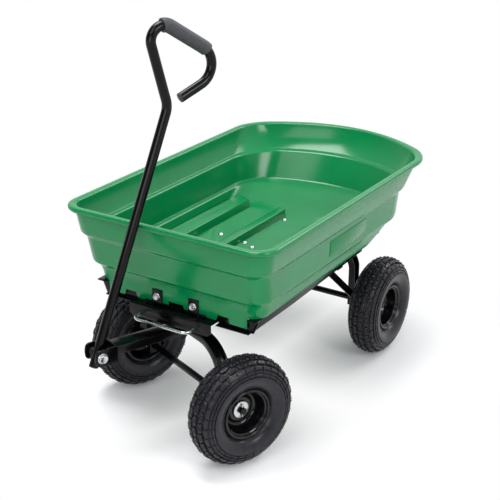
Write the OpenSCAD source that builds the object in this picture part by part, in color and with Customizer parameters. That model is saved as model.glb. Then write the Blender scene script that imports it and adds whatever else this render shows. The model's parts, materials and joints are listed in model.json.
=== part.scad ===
// Tipping dump cart: moulded tub on a steel frame, four air-tyred wheels, steered
// front axle with a pull handle, and a sliding bail that locks the tub's front.
// +X points forward (handle end), +Y to the cart's left, +Z up, origin on the ground.

/* [Tub] */
// Length of the tub over its rim
tub_len = 921; // [870:1:970]
// Width of the tub over its rim
tub_w = 556; // [520:1:600]
// Height of the rim's top above the ground
rim_z = 522; // [515:1:540]
// Height of the tub's underside above the ground
tub_z = 332; // [328:1:336]
// How far the rim's front stands ahead of the kingpin
rim_ahead = 108; // [104:1:112]
// Wall of the moulding
wall = 5; // [4:0.5:6]
// Thickness of the floor
floor_t = 6; // [5:0.5:8]
// How far the middle of the rear rim stands behind its corners
rear_bow = 118; // [90:1:130]
// Corner radius of the rim
rim_r = 52; // [45:1:60]
// Height of the rolled rim
lip_h = 12; // [10:0.5:14]
// How far the rolled rim stands out from the wall
lip_out = 13; // [10:0.5:16]
// How far the bottom's front edge lies inside the rim
front_in = 64; // [58:1:70]
// How far the bottom's side edges lie inside the rim
side_in = 63; // [58:1:68]
// How far the bottom's rear edge lies inside the rim, in the middle
rear_in = 270; // [260:1:280]
// Height of the skirt under the front wall
skirt_h = 26; // [22:1:26]
// Inset of the front skirt's ends from the rim's sides
skirt_in = 88; // [83:1:98]
// Height of the ribs on the floor
rib_h = 20; // [12:1:24]
// Width of the ribs on the floor
rib_w = 24; // [18:1:30]
// Distance of the ribs from the middle
rib_y = 62; // [55:1:70]
// Height of the ledges along the floor's sides
ledge_h = 22; // [14:1:26]
// Distance of the ledges' inner faces from the middle
ledge_y = 168; // [160:1:175]
// Length of the plain panel on each side wall
panel_len = 181; // [150:1:200]
// Height of the plain panel on each side wall
panel_h = 39; // [30:1:45]

/* [Wheels] */
// Outer diameter of the tyres
tyre_d = 260; // [250:1:266]
// Width of the tyres
tyre_w = 84; // [78:1:88]
// Diameter of the rim flanges
rim_flange_d = 122; // [118:1:122]
// Diameter of the rim's bead seat
rim_seat_d = 108; // [104:1:108]
// Width over the rim flanges
rim_w = 62; // [60:1:64]
// Thickness of the pressed rim
rim_t = 3; // [2.5:0.5:4]
// Length of the hubs
hub_len = 54; // [50:1:56]
// How deep the hubs' outer ends lie inside the rims' outer flanges
hub_deep = 30; // [27:1:32]
// Diameter of the hubs
hub_d = 38; // [36:1:42]
// Outer diameter of the wheel bearings
bearing_d = 32; // [28:1:33]
// Length of each wheel bearing
bearing_len = 12; // [9:1:14]
// Diameter of the axles
axle_d = 16; // [14:1:18]
// Distance between the front and rear axles
wheelbase = 573; // [560:1:590]
// Distance between the middles of the left and right tyres
track = 439; // [436:1:446]

/* [Steering] */
// Angle to the right at which the front axle stands
steer = 22.9; // [0:0.1:24]
// Distance from the kingpin to the handle's pivot
pivot_reach = 235; // [230:1:240]
// Height of the handle's pivot
pivot_z = 241; // [239:1:245]
// Diameter of the kingpin
kingpin_d = 16; // [14:1:18]
// Width of the tongue
tongue_w = 40; // [36:1:44]
// Height of the tongue
tongue_h = 20; // [16:1:22]
// Thickness of the arch bars
arch_t = 16; // [14:1:18]
// Depth of the arch bars, fore and aft
arch_depth = 30; // [26:1:34]
// Thickness of the arches' channel walls
arch_wall = 4; // [3:0.5:5]
// Height of the top of the front arch
front_arch_z = 256; // [252:1:258]
// Half width of the front arch at the middle of its legs
front_arch_half = 155; // [150:1:155]
// Bend radius of the front arch
front_arch_r = 80; // [60:1:85]

/* [Handle] */
// Angle at which the handle leans back
lean = 19.9; // [16:0.1:20]
// Outer diameter of the handle tube
tube_d = 22; // [20:0.5:23]
// Wall of the handle tube
tube_wall = 1.8; // [1.2:0.1:2.5]
// Tube below the pivot
shaft_tail = 28; // [24:1:28]
// Straight tube above the pivot
shaft_len = 555; // [545:1:565]
// Angle of the forward kink
kink_angle = 35; // [30:1:38]
// Bend radius of the forward kink
kink_r = 47; // [42:1:60]
// Straight tube after the kink
rise_len = 125; // [118:1:130]
// Angle of the top bend
top_angle = 138; // [132:1:140]
// Radius of the top bend
top_r = 31; // [28:1:34]
// Straight tube under the grip
grip_run = 96; // [92:1:102]
// Angle of the bend behind the grip
back_angle = 124; // [120:1:128]
// Radius of the bend behind the grip
back_r = 46; // [42:1:50]
// Straight tail after the last bend
tail_len = 55; // [48:1:60]
// How far round the top bend the grip reaches, in degrees
grip_on_top = 40; // [30:1:45]
// How far round the back bend the grip reaches, in degrees
grip_on_back = 14; // [8:1:20]
// Diameter of the grip
grip_d = 31; // [28:1:34]
// Diameter of the pivot bolt
pivot_bolt_d = 10; // [8:0.5:11]

/* [Frame] */
// How far the side rails lie inside the rim
rail_in = 71; // [68:1:74]
// Height of the side rails
rail_h = 28.7; // [24:0.1:29]
// Height of the side rails at their rear ends
rail_rear_h = 18; // [14:1:20]
// Width of the rails' top flange, which points outward
rail_flange = 11; // [9:1:13]
// Thickness of the frame's bent sheet
sheet = 3; // [2.5:0.5:3.5]
// Side of the square cross bars
bar = 25; // [22:1:26]
// Wall of the square cross bars
bar_wall = 2; // [1.5:0.5:3]
// Distance of the tub hinge ahead of the rear axle
hinge_ahead = 50; // [48:1:54]
// Height of the tub hinge
hinge_z = 302; // [300:1:304]
// Diameter of the hinge rod
hinge_d = 12; // [10:0.5:13]
// Height of the top of the rear arch
rear_arch_z = 270; // [266:1:272]
// Half width of the rear arch at the middle of its legs
rear_arch_half = 140; // [136:1:141]
// Bend radius of the rear arch
rear_arch_r = 45; // [38:1:60]
// Width of the diagonal braces
brace_w = 18; // [14:1:22]
// Thickness of the diagonal braces
brace_t = 5; // [4:0.5:6]

/* [Latch] */
// Half width of the latch beam
beam_half = 112; // [108:1:116]
// Depth of the latch beam ahead of the front angle
beam_depth = 33; // [31:1:35]
// Height of the latch beam's web
web_h = 30; // [28:1:32]
// Diameter of the bail's wire
bail_d = 7; // [6:0.5:7.5]
// Half distance between the bail's legs
bail_half = 74; // [70:1:76]
// Bend radius of the bail
bail_r = 16; // [12:1:20]
// Height of the bail
bail_z = 290; // [289:0.5:291]
// How far the drawn bail stands ahead of the web
bail_reach = 41.5; // [36:0.5:44]
// Distance of the striker bolts from the middle
striker_y = 50; // [46:1:54]

/* [Hidden] */
$fn = 48;

// Radial room of a running fit, and the room left between other faces
fit = 0.05;
gap = 0.3;
// How far a cut runs past the face it opens
cut = 1;
// How far the bends of round bars run on over the straights, in degrees, and how much thicker they are
bend_lap = 1.2;
bend_step = 0.2;

// Colours
green = "#2f8a55";
black = "#17181a";
rubber = "#1d1e20";
zinc = "#c9ccd0";
foam = "#34373b";

// Clevis
ear_t = 4;
ear_gap = 45;
ear_r = 17;
ear_h = 46;
ear_outer = ear_gap / 2 + ear_t;
clevis_back = 38;

// The origin lies under the middle of the cart's length
front_reach = (pivot_reach + ear_r) * cos(steer) + ear_outer * sin(steer);
rear_reach = tub_len - rim_ahead;
kingpin_x = (rear_reach - front_reach) / 2;
rear_x = kingpin_x - wheelbase;
axle_z = tyre_d / 2;
rim_front_x = kingpin_x + rim_ahead;
rim_rear_x = rim_front_x - tub_len;
bottom_front_x = rim_front_x - front_in;
hinge_x = rear_x + hinge_ahead;

// Tub levels from the bottom up: shares of the depth above the bottom, of the front, side and rear
// insets, of the rear bow and of the rim's corner radius
tub_level_shares = [
  [0,     1,     0.900, 1,     0.275, 0.73, 0.90],
  [0.022, 1,     0.860, 0.904, 0.302, 0.75, 1.10],
  [0.075, 1,     0.820, 0.759, 0.330, 0.76, 1.30],
  [0.195, 0.885, 0.735, 0.430, 0.520, 0.78, 1.60],
  [0.222, 0.760, 0.600, 0.401, 0.530, 0.79, 1.60],
  [0.250, 0.715, 0.555, 0.375, 0.540, 0.80, 1.60],
  [0.600, 0.475, 0.500, 0.237, 0.780, 0.82, 1.65],
  [0.625, 0.365, 0.395, 0.208, 0.790, 0.85, 1.65],
  [0.655, 0.317, 0.344, 0.188, 0.800, 0.86, 1.65]];
corner_steps = 7;
rear_steps = 12;
lip_steps = 4;

// Skirt and floor details
skirt_t = wall;
foot_w = 45;
skirt_half = tub_w / 2 - skirt_in;
skirt_notch_w = 36;
skirt_notch_h = 14;
centre_notch_w = 36;
centre_notch_h = 11;
rib_front_in = 40;
rib_rear_in = 5;
ledge_front_in = 30;
ledge_behind = 35;
panel_out = 1.5;
panel_rear_from_hinge = 110;
panel_z = 393;

// Bolt positions on the floor, from the middle of the strap and of the hinge bracket
strap_len = 280;
strap_w = 56;
strap_behind_kingpin = 313;
strap_bolt_y = 40;
strap_bolt_x = 1;
strap_lone_x = 17;
strap_lone_y = 9;
strap_end_y = 122;
strap_end_x = 14;
bracket_bolt_ahead = 21;
bracket_bolt_y = 36;
m6_d = 6;
m6_head_d = 14;
m6_head_h = 4;
m6_nut_d = 10;
m6_nut_h = 5;
m8_d = 8;
m8_nut_d = 13;
m8_nut_h = 6.5;
m8_head_h = 5.5;

// Hinge
hinge_ear_y = 46;
hinge_ear_t = 5;
hinge_lug_t = 6;
hinge_lug_r = 11;
hinge_end = 9;
clip_d = 3;
clip_len = 20;
bracket_half = 62;
bracket_rear = 11;
bracket_front = 47;

// Rails and cross bars
rail_top = tub_z - gap;
rail_bottom = rail_top - rail_h;
rail_half = tub_w / 2 - rail_in;
rail_short = 95;
rail_rear_x = rear_x + rail_short;
rail_taper = 130;
rear_bar_front = 25;
rear_bar_half = 150;
rear_bar_z = rear_arch_z;
angle_back = 7.5;
angle_z = 295;
angle_lift = 4;
angle_top = 326;
angle_dip = 11;
angle_dip_half = 75;
angle_lip = 12;
angle_end = 9;
angle_half = rail_half - angle_end;
wing_half = rail_half + rail_flange;
wing_ahead = 8;
angle_front_x = bottom_front_x - angle_back;
angle_rear_x = angle_front_x - sheet;
beam_z = tub_z - skirt_h - cut;
beam_front_x = angle_front_x + beam_depth;
web_corner_r = 12;
mid_bar_ahead = 205;
bolster_back = 51;
bolster_t = 6;
bolster_half = 90;
housing_d = 34;
washer_t = 3;
kingpin_head_h = 8;
kingpin_head_d = 26;
kingpin_nut_h = 11;

// Striker: two tabs on the skirt, joined by a strip, with two lugs that reach through the beam
striker_t = 3;
striker_x = bottom_front_x;
tab_w = 28;
tab_top = 12;
strip_h = 6;
lug_w = 20;
lug_below = 8;
lug_hole_room = 1;
slot_room = 2;
tab_bolt_below = 6.5;
guide_d = 13;
guide_len = 13;
bail_tip_room = 2.5;

// Axle ends
axle_washer_d = 40;
axle_washer_t = 2.5;
inner_washer_d = 30;
hub_outer_y = track / 2 + rim_w / 2 - hub_deep;
pin_d = 4;
pin_len = 32;
pin_room = 3.2;
axle_tail = 5.5;
spacer_d = 24;
leg_below = 16;
brace_eye_r = 14;

// Tyre section
tyre_power = 2.4;
tyre_wall = 9;
groove_w = 5;
groove_deep = 5;
groove_y = 13;
bead_open = 20;
section_steps = 60;
rim_lip_t = 2.5;
rim_disc_r = 27.5;
rim_dish = 5.5;
disc_back = 9;

// Handle details
spacer_ring_d = 18;
cap_t = 3;
clevis_head_h = 6.5;
clevis_head_d = 18;
clevis_nut_h = 8;

// Shared shapes

module in_steer() {
  translate([kingpin_x, 0, 0]) rotate([0, 0, -steer]) children();
}

module in_handle() {
  in_steer() translate([pivot_reach, 0, pivot_z]) rotate([0, -lean, 0]) children();
}

module both_sides() {
  children();
  mirror([0, 1, 0]) children();
}

// Bar along Y
module cross_cylinder(r, y0, y1) {
  translate([0, y0, 0]) rotate([-90, 0, 0]) cylinder(r = r, h = y1 - y0);
}

module hex(d, h) {
  cylinder(d = d / cos(30), h = h, $fn = 6);
}

// Bent round bar: starts at the origin along +Z, each step is [length, bend radius, bend angle towards +X].
// The bends are a hair thicker than the straights and run a little way over them
module bent_rod(steps, r, i = 0) {
  if (i < len(steps)) {
    run = steps[i][0];
    bend = steps[i][1];
    angle = steps[i][2];
    turn = abs(angle);
    side = angle < 0 ? 1 : 0;
    cylinder(r = r, h = run);
    translate([0, 0, run]) {
      if (turn > 0)
        mirror([side, 0, 0]) translate([bend, 0, 0]) rotate([90, 0, 0]) rotate([0, 0, 180 - turn - bend_lap])
          rotate_extrude(angle = turn + 2 * bend_lap) translate([bend, 0]) circle(r = r + bend_step);
      translate([sign(angle) * bend * (1 - cos(angle)), 0, bend * sin(turn)]) rotate([0, angle, 0])
        bent_rod(steps, r, i + 1);
    }
  }
}

// Upturned U of the given depth, between two distances from its middle line
module arch_run(half, top, bend, foot, inner, outer, depth) {
  mid = top - arch_t / 2;
  translate([-depth / 2, -(half - bend), mid + inner]) cube([depth, 2 * (half - bend), outer - inner]);
  both_sides() {
    translate([0, half - bend, mid - bend]) rotate([90, 0, 90]) rotate_extrude(angle = 90)
      translate([bend + inner, -depth / 2]) square([outer - inner, depth]);
    translate([-depth / 2, half + inner, foot]) cube([depth, outer - inner, mid - bend - foot]);
  }
}

// Arch of channel with its open side outward, centred on the axle's middle plane
module arch(half, top, bend, foot) {
  difference() {
    arch_run(half, top, bend, foot, -arch_t / 2, arch_t / 2, arch_depth);
    arch_run(half, top, bend, foot - cut, arch_wall - arch_t / 2, arch_t / 2 + cut, arch_depth - 2 * arch_wall);
  }
}

// Square tube along Y
module cross_bar(y_half) {
  difference() {
    translate([0, -y_half, 0]) cube([bar, 2 * y_half, bar]);
    translate([bar_wall, -y_half - cut, bar_wall])
      cube([bar - 2 * bar_wall, 2 * (y_half + cut), bar - 2 * bar_wall]);
  }
}

// Tub

function corner(cx, cy, r, from) =
  [for (i = [0 : corner_steps]) let (a = from + 90 * i / corner_steps) [cx + r * cos(a), cy + r * sin(a)]];

// Plan outline: front, rear middle, half width, rear bow, and radii of the front and rear corners
function outline(front, rear, half, bow, r, rear_r) =
  let (rear_corner = rear + bow,
    left = corner(rear_corner + rear_r, half - rear_r, rear_r, 90),
    middle = [for (i = [1 : rear_steps - 1]) [rear_corner, (half - rear_r) * (1 - 2 * i / rear_steps)]],
    right = corner(rear_corner + rear_r, rear_r - half, rear_r, 180))
  concat(corner(front - r, r - half, r, -90), corner(front - r, half - r, r, 0),
    [for (p = concat(left, middle, right)) [p[0] - bow * (1 - pow(p[1] / half, 2)), p[1]]]);

function tub_ring(z, front, side, rear, bow, r, rear_r) =
  [for (p = outline(rim_front_x - front, rim_rear_x + rear, tub_w / 2 - side, bow, r, rear_r)) [p[0], p[1], z]];

function level(s, grow, z) =
  tub_ring(z, front_in * s[1] + grow, side_in * s[2] + grow, rear_in * s[3] + grow,
    rear_bow * s[4], max(rim_r * s[5] - grow, wall), max(rim_r * s[6] - grow, wall));

// Ring of the rolled rim, the same distance inside its edge all round
function rim_ring(z, inset, r) = tub_ring(z, inset, inset, inset, rear_bow, r, r);

tub_depth = rim_z - tub_z;
levels_n = len(tub_level_shares);
lip_outer = [for (i = [0 : lip_steps]) let (a = -90 + 180 * i / lip_steps)
  rim_ring(rim_z - lip_h / 2 + lip_h / 2 * sin(a), lip_h / 4 * (1 - cos(a)), rim_r)];
tub_outer = [for (s = tub_level_shares) level(s, 0, tub_z + tub_depth * s[0])];
tub_inner = [for (i = [levels_n - 1 : -1 : 2]) let (s = tub_level_shares[i])
  level(s, wall, tub_z + tub_depth * s[0] + wall)];
under_lip = rim_ring(rim_z - lip_h, lip_out, rim_r - lip_out / 2);
in_lip = rim_ring(rim_z, lip_out + wall / 2, rim_r - lip_out / 2);
below_in_lip = rim_ring(rim_z - lip_h / 2, lip_out + wall, rim_r - lip_out);
floor_share = tub_level_shares[1];
floor_ring = level(floor_share, wall, tub_z + floor_t);
tub_rings = concat(tub_outer, [under_lip], lip_outer, [in_lip, below_in_lip], tub_inner, [floor_ring]);
ring_n = len(floor_ring);

// The shape cast inside the middle of the wall, for cutting ledges to the sloping rear
core_rings = [for (s = tub_level_shares) level(s, wall / 2, tub_z + tub_depth * s[0] + floor_t / 2)];

module loft(rings) {
  n = len(rings);
  faces = [for (i = [0 : n - 2]) for (j = [0 : ring_n - 1]) let (k = (j + 1) % ring_n)
    each [[i * ring_n + j, (i + 1) * ring_n + j, (i + 1) * ring_n + k],
      [i * ring_n + j, (i + 1) * ring_n + k, i * ring_n + k]]];
  bottom = [for (j = [0 : ring_n - 1]) j];
  top = [for (j = [ring_n - 1 : -1 : 0]) (n - 1) * ring_n + j];
  polyhedron(points = [for (r = rings) each r], faces = concat(faces, [bottom, top]));
}

floor_front_x = bottom_front_x - wall;
floor_rear_x = rim_rear_x + rear_in;

module floor_rib(y) {
  rib_from = floor_rear_x + rib_rear_in;
  rib_to = floor_front_x - rib_front_in;
  translate([rib_from, y - rib_w / 2, tub_z + floor_t / 2]) cube([rib_to - rib_from, rib_w, floor_t / 2 + rib_h]);
}

module floor_ledge() {
  ledge_from = floor_rear_x - ledge_behind;
  ledge_to = floor_front_x - ledge_front_in;
  intersection() {
    loft(core_rings);
    translate([ledge_from, ledge_y, tub_z]) cube([ledge_to - ledge_from, tub_w / 2 - ledge_y, floor_t + ledge_h]);
  }
}

// Front skirt: two feet, a notch beside each, and a middle part with its own small notch
module skirt() {
  translate([bottom_front_x, 0, tub_z]) rotate([90, 0, -90]) linear_extrude(height = skirt_t)
    difference() {
      translate([-skirt_half, -skirt_h]) square([2 * skirt_half, skirt_h + floor_t / 2]);
      for (side = [-1, 1])
        translate([side * (skirt_half - foot_w - skirt_notch_w / 2) - skirt_notch_w / 2, -skirt_h - cut])
          square([skirt_notch_w, skirt_notch_h + cut]);
      translate([-centre_notch_w / 2, -skirt_h - cut]) square([centre_notch_w, centre_notch_h + cut]);
    }
}

// Plain raised panel, lying on the slope of the side wall's middle band
module side_panel() {
  low = tub_level_shares[5];
  high = tub_level_shares[6];
  rise = tub_depth * (high[0] - low[0]);
  flare = side_in * (low[2] - high[2]);
  tilt = atan(flare / rise);
  wall_y = tub_w / 2 - side_in * low[2] + (panel_z - tub_z - tub_depth * low[0]) * flare / rise;
  translate([hinge_x + panel_rear_from_hinge, wall_y - wall / 2, panel_z]) rotate([-tilt, 0, 0])
    cube([panel_len, wall / 2 + panel_out, panel_h]);
}

strap_x = kingpin_x - strap_behind_kingpin;
floor_bolt_places = [
  [strap_x + strap_bolt_x, strap_bolt_y], [strap_x + strap_bolt_x, -strap_bolt_y],
  [strap_x + strap_lone_x, -strap_lone_y],
  [strap_x - strap_end_x, strap_end_y], [strap_x - strap_end_x, -strap_end_y],
  [hinge_x + bracket_bolt_ahead, bracket_bolt_y], [hinge_x + bracket_bolt_ahead, -bracket_bolt_y]];

module floor_bolt_holes(z, h) {
  for (p = floor_bolt_places) translate([p[0], p[1], z]) cylinder(d = m6_d + 2 * fit, h = h);
}

tab_bolt_z = tub_z - tab_bolt_below;

module striker_bolt_holes() {
  for (y = [-striker_y, striker_y]) translate([striker_x - skirt_t - cut, y, tab_bolt_z]) rotate([0, 90, 0])
    cylinder(d = m6_d + 2 * fit, h = skirt_t + striker_t + 2 * cut);
}

module tub() {
  color(green) difference() {
    union() {
      loft(tub_rings);
      skirt();
      both_sides() {
        side_panel();
        floor_rib(rib_y);
        floor_ledge();
      }
    }
    floor_bolt_holes(tub_z - cut, floor_t + 2 * cut);
    striker_bolt_holes();
  }
}

strip_z = tub_z - skirt_h;

module striker_plate() {
  strip_half = bail_half + lug_w / 2;
  color(black) difference() {
    union() {
      for (y = [-striker_y, striker_y]) translate([striker_x, y - tab_w / 2, strip_z])
        cube([striker_t, tab_w, skirt_h + tab_top - cut]);
      translate([striker_x, -strip_half, strip_z]) cube([striker_t, 2 * strip_half, strip_h]);
    }
    striker_bolt_holes();
  }
}

// Lugs under the striker plate, each with a square hole for a leg of the bail
module striker_lugs() {
  lug_z = bail_z - bail_d / 2 - lug_below;
  hole = bail_d + 2 * lug_hole_room;
  color(black) for (y = [-bail_half, bail_half]) translate([striker_x, y, 0]) difference() {
    translate([0, -lug_w / 2, lug_z]) cube([striker_t, lug_w, strip_z - lug_z]);
    translate([-cut, -hole / 2, bail_z - hole / 2]) cube([striker_t + 2 * cut, hole, hole]);
  }
}

module striker_bolts() {
  shank = skirt_t + striker_t;
  nut_x = striker_x - skirt_t - m6_nut_h;
  color(zinc) for (y = [-striker_y, striker_y]) translate([nut_x, y, tab_bolt_z]) rotate([0, 90, 0]) {
    hex(m6_nut_d, m6_nut_h);
    translate([0, 0, m6_nut_h]) cylinder(d = m6_d, h = shank);
    translate([0, 0, m6_nut_h + shank]) hex(m8_nut_d, m8_head_h);
  }
}

// Hinge

module hinge_bracket() {
  color(black) difference() {
    union() {
      translate([hinge_x - bracket_rear, -bracket_half, tub_z - sheet])
        cube([bracket_rear + bracket_front, 2 * bracket_half, sheet]);
      both_sides() translate([hinge_x, hinge_ear_y, hinge_z]) rotate([90, 0, 0])
        translate([0, 0, -hinge_ear_t]) linear_extrude(height = hinge_ear_t) {
          circle(r = hinge_lug_r);
          translate([-hinge_lug_r, 0]) square([2 * hinge_lug_r, tub_z - sheet - hinge_z]);
        }
    }
    translate([hinge_x, 0, hinge_z]) cross_cylinder(hinge_d / 2, -bracket_half, bracket_half);
    floor_bolt_holes(tub_z - sheet - cut, sheet + 2 * cut);
  }
}

hinge_lug_y = hinge_ear_y + hinge_ear_t + gap;
hinge_half = hinge_lug_y + hinge_lug_t + gap + hinge_end;
clip_y = hinge_half - hinge_end / 2;

module hinge_rod() {
  color(zinc) translate([hinge_x, 0, hinge_z]) difference() {
    cross_cylinder(hinge_d / 2, -hinge_half, hinge_half);
    for (y = [-clip_y, clip_y]) translate([0, y, -hinge_d]) cylinder(d = clip_d, h = 2 * hinge_d);
  }
}

module hinge_clips() {
  color(zinc) for (y = [-clip_y, clip_y]) translate([hinge_x, y, hinge_z - clip_len / 2])
    cylinder(d = clip_d, h = clip_len);
}

// Hinge plates, from the rear bar past the rod to the middle bar
module hinge_lugs() {
  bar_front_x = rear_x + rear_bar_front;
  mid_face_x = rear_x + mid_bar_ahead - bar / 2;
  root_z = rear_bar_z + bar_wall;
  color(black) both_sides() translate([0, hinge_lug_y + hinge_lug_t, 0]) rotate([90, 0, 0])
    linear_extrude(height = hinge_lug_t) difference() {
      union() {
        translate([hinge_x, hinge_z]) circle(r = hinge_lug_r);
        polygon([[bar_front_x, root_z], [bar_front_x, rear_bar_z + bar], [hinge_x, hinge_z + hinge_lug_r],
          [mid_face_x, hinge_z + hinge_lug_r], [mid_face_x, bar_z], [hinge_x, hinge_z - hinge_lug_r]]);
      }
      translate([hinge_x, hinge_z]) circle(r = hinge_d / 2 + fit);
    }
}

// Floor strap and bolts

module floor_strap() {
  color(black) difference() {
    translate([strap_x - strap_w / 2, -strap_len / 2, tub_z - sheet]) cube([strap_w, strap_len, sheet]);
    floor_bolt_holes(tub_z - sheet - cut, sheet + 2 * cut);
  }
}

module floor_bolts() {
  head_z = tub_z + floor_t;
  nut_z = tub_z - sheet - m6_nut_h;
  color(zinc) for (p = floor_bolt_places) translate([p[0], p[1], 0]) {
    translate([0, 0, head_z]) cylinder(d1 = m6_head_d, d2 = m6_head_d / 2, h = m6_head_h);
    translate([0, 0, nut_z + m6_nut_h]) cylinder(d = m6_d, h = head_z - nut_z - m6_nut_h);
    translate([0, 0, nut_z]) hex(m6_nut_d, m6_nut_h);
  }
}

// Side rails: an upright leg with a top flange, shallower towards the hinge end

module rail() {
  translate([0, rail_half, 0]) rotate([90, 0, 0]) linear_extrude(height = sheet)
    polygon([[rail_rear_x, rail_top - rail_rear_h], [kingpin_x - rail_taper, rail_bottom],
      [angle_rear_x, rail_bottom], [angle_rear_x, rail_top], [rail_rear_x, rail_top]]);
  translate([rail_rear_x, rail_half, rail_top - sheet])
    cube([angle_rear_x - rail_rear_x, rail_flange, sheet]);
}

module left_rail() {
  color(black) rail();
}

module right_rail() {
  color(black) mirror([0, 1, 0]) rail();
}

// Front angle: an upright leg behind the skirt, a lip under each foot, and at each end a gusset
// under a flat wing that carries the rail's flange round the corner
module front_angle() {
  lip_from = beam_half;
  gusset_from = angle_half - sheet;
  color(black) {
    difference() {
      translate([angle_rear_x, -angle_half, angle_z]) cube([sheet, 2 * angle_half, angle_top - angle_z]);
      translate([angle_rear_x - cut, -lip_from, angle_z - cut])
        cube([sheet + 2 * cut, 2 * lip_from, angle_lift + cut]);
      translate([angle_rear_x - cut, -angle_dip_half, angle_top - angle_dip])
        cube([sheet + 2 * cut, 2 * angle_dip_half, angle_dip + cut]);
    }
    both_sides() translate([angle_front_x, lip_from, angle_z])
      cube([angle_lip, angle_half - lip_from, sheet]);
    both_sides() {
      translate([angle_rear_x, 0, 0]) rotate([90, 0, 90]) linear_extrude(height = sheet)
        polygon([[gusset_from, angle_z], [rail_half - sheet, angle_z], [wing_half, rail_top - sheet],
          [wing_half, rail_top], [gusset_from, rail_top]]);
      translate([angle_rear_x, gusset_from, rail_top - sheet])
        cube([bottom_front_x + wing_ahead - angle_rear_x, wing_half - gusset_from, sheet]);
    }
  }
}

// Latch beam: top plate with two slots for the striker's lugs, and a front web with round lower corners
module latch_beam() {
  slot_w = lug_w + 2 * slot_room;
  slot_x = striker_x - slot_room;
  color(black) difference() {
    union() {
      translate([angle_front_x, -beam_half, beam_z - sheet]) cube([beam_depth, 2 * beam_half, sheet]);
      translate([beam_front_x - sheet, 0, beam_z - sheet]) rotate([90, 0, 90]) linear_extrude(height = sheet) {
        translate([-beam_half, -(web_h - sheet - web_corner_r)])
          square([2 * beam_half, web_h - sheet - web_corner_r]);
        translate([web_corner_r - beam_half, -(web_h - sheet)])
          square([2 * (beam_half - web_corner_r), web_h - sheet]);
        for (side = [-1, 1])
          translate([side * (beam_half - web_corner_r), -(web_h - sheet - web_corner_r)])
            circle(r = web_corner_r);
      }
    }
    for (y = [-bail_half, bail_half]) translate([slot_x, y - slot_w / 2, beam_z - sheet - cut])
      cube([striker_t + 2 * slot_room, slot_w, sheet + 2 * cut]);
    for (y = [-bail_half, bail_half]) translate([beam_front_x - sheet - cut, y, bail_z]) rotate([0, 90, 0])
      cylinder(d = bail_d + 2 * fit, h = sheet + 2 * cut);
  }
}

module latch_guides() {
  color(black) for (y = [-bail_half, bail_half])
    translate([beam_front_x - sheet - guide_len, y, bail_z]) rotate([0, 90, 0]) difference() {
      cylinder(d = guide_d, h = guide_len);
      translate([0, 0, -cut]) cylinder(d = bail_d + 2 * fit, h = guide_len + 2 * cut);
    }
}

module release_bail() {
  tip_x = striker_x + striker_t + bail_tip_room;
  leg = beam_front_x + bail_reach - bail_d / 2 - bail_r - tip_x;
  color(zinc) translate([tip_x, -bail_half, bail_z]) rotate([90, 0, 0]) rotate([0, 90, 0])
    bent_rod([[leg, bail_r, 90], [2 * (bail_half - bail_r), bail_r, 90], [leg, 0, 0]], bail_d / 2);
}

// Cross bars and steering bolster

bar_z = rail_top - sheet - bar;

module bolster_bar() {
  color(black) translate([kingpin_x - bolster_back, 0, bar_z]) cross_bar(rail_half - sheet);
}

module mid_bar() {
  color(black) translate([rear_x + mid_bar_ahead - bar / 2, 0, bar_z]) cross_bar(rail_half - sheet);
}

module rear_bar() {
  color(black) difference() {
    translate([rear_x, 0, rear_bar_z]) cross_bar(rear_bar_half);
    arch_bolt_holes();
  }
}

module bolster_plate() {
  plate_x = kingpin_x - bolster_back;
  color(black) difference() {
    translate([plate_x, -bolster_half, bar_z - bolster_t])
      cube([angle_rear_x - plate_x, 2 * bolster_half, bolster_t]);
    translate([kingpin_x, 0, bar_z - bolster_t - cut]) cylinder(d = kingpin_d, h = bolster_t + 2 * cut);
  }
}

housing_z = front_arch_z + washer_t + gap;

module kingpin_housing() {
  color(black) translate([kingpin_x, 0, housing_z]) difference() {
    cylinder(d = housing_d, h = bar_z - bolster_t - housing_z);
    translate([0, 0, -cut]) cylinder(d = kingpin_d, h = bar_z);
  }
}

kingpin_nut_z = front_arch_z - arch_t - gap - kingpin_nut_h;

module kingpin() {
  color(zinc) translate([kingpin_x, 0, 0]) {
    translate([0, 0, kingpin_nut_z]) cylinder(d = kingpin_d, h = bar_z - kingpin_nut_z);
    translate([0, 0, bar_z]) hex(kingpin_head_d, kingpin_head_h);
  }
}

module kingpin_nut() {
  color(zinc) translate([kingpin_x, 0, kingpin_nut_z]) difference() {
    hex(kingpin_head_d, kingpin_nut_h);
    translate([0, 0, -cut]) cylinder(d = kingpin_d, h = kingpin_nut_h + 2 * cut);
  }
}

// Rear axle, arch and braces

rear_leg_outer = rear_arch_half + arch_t / 2;
hub_inner_y = hub_outer_y - hub_len;
arch_bolt_y = 90;
arch_bolt_in = 6.5;
arch_head_h = 3;

module arch_bolt_holes() {
  for (y = [-arch_bolt_y, arch_bolt_y]) translate([rear_x + arch_bolt_in, y, rear_arch_z - arch_t - cut])
    cylinder(d = m8_d, h = arch_t + bar + 2 * cut);
}

module rear_arch() {
  color(black) difference() {
    translate([rear_x, 0, 0]) arch(rear_arch_half, rear_arch_z, rear_arch_r, axle_z - leg_below);
    translate([rear_x, 0, axle_z]) cross_cylinder(axle_d / 2, -track / 2, track / 2);
    arch_bolt_holes();
  }
}

module arch_bolts() {
  color(zinc) for (y = [-arch_bolt_y, arch_bolt_y]) translate([rear_x + arch_bolt_in, y, rear_arch_z - arch_t]) {
    translate([0, 0, -m8_nut_h]) hex(m8_nut_d, m8_nut_h);
    cylinder(d = m8_d, h = arch_t + bar);
    translate([0, 0, arch_t + bar]) hex(m8_nut_d, arch_head_h);
  }
}

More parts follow.
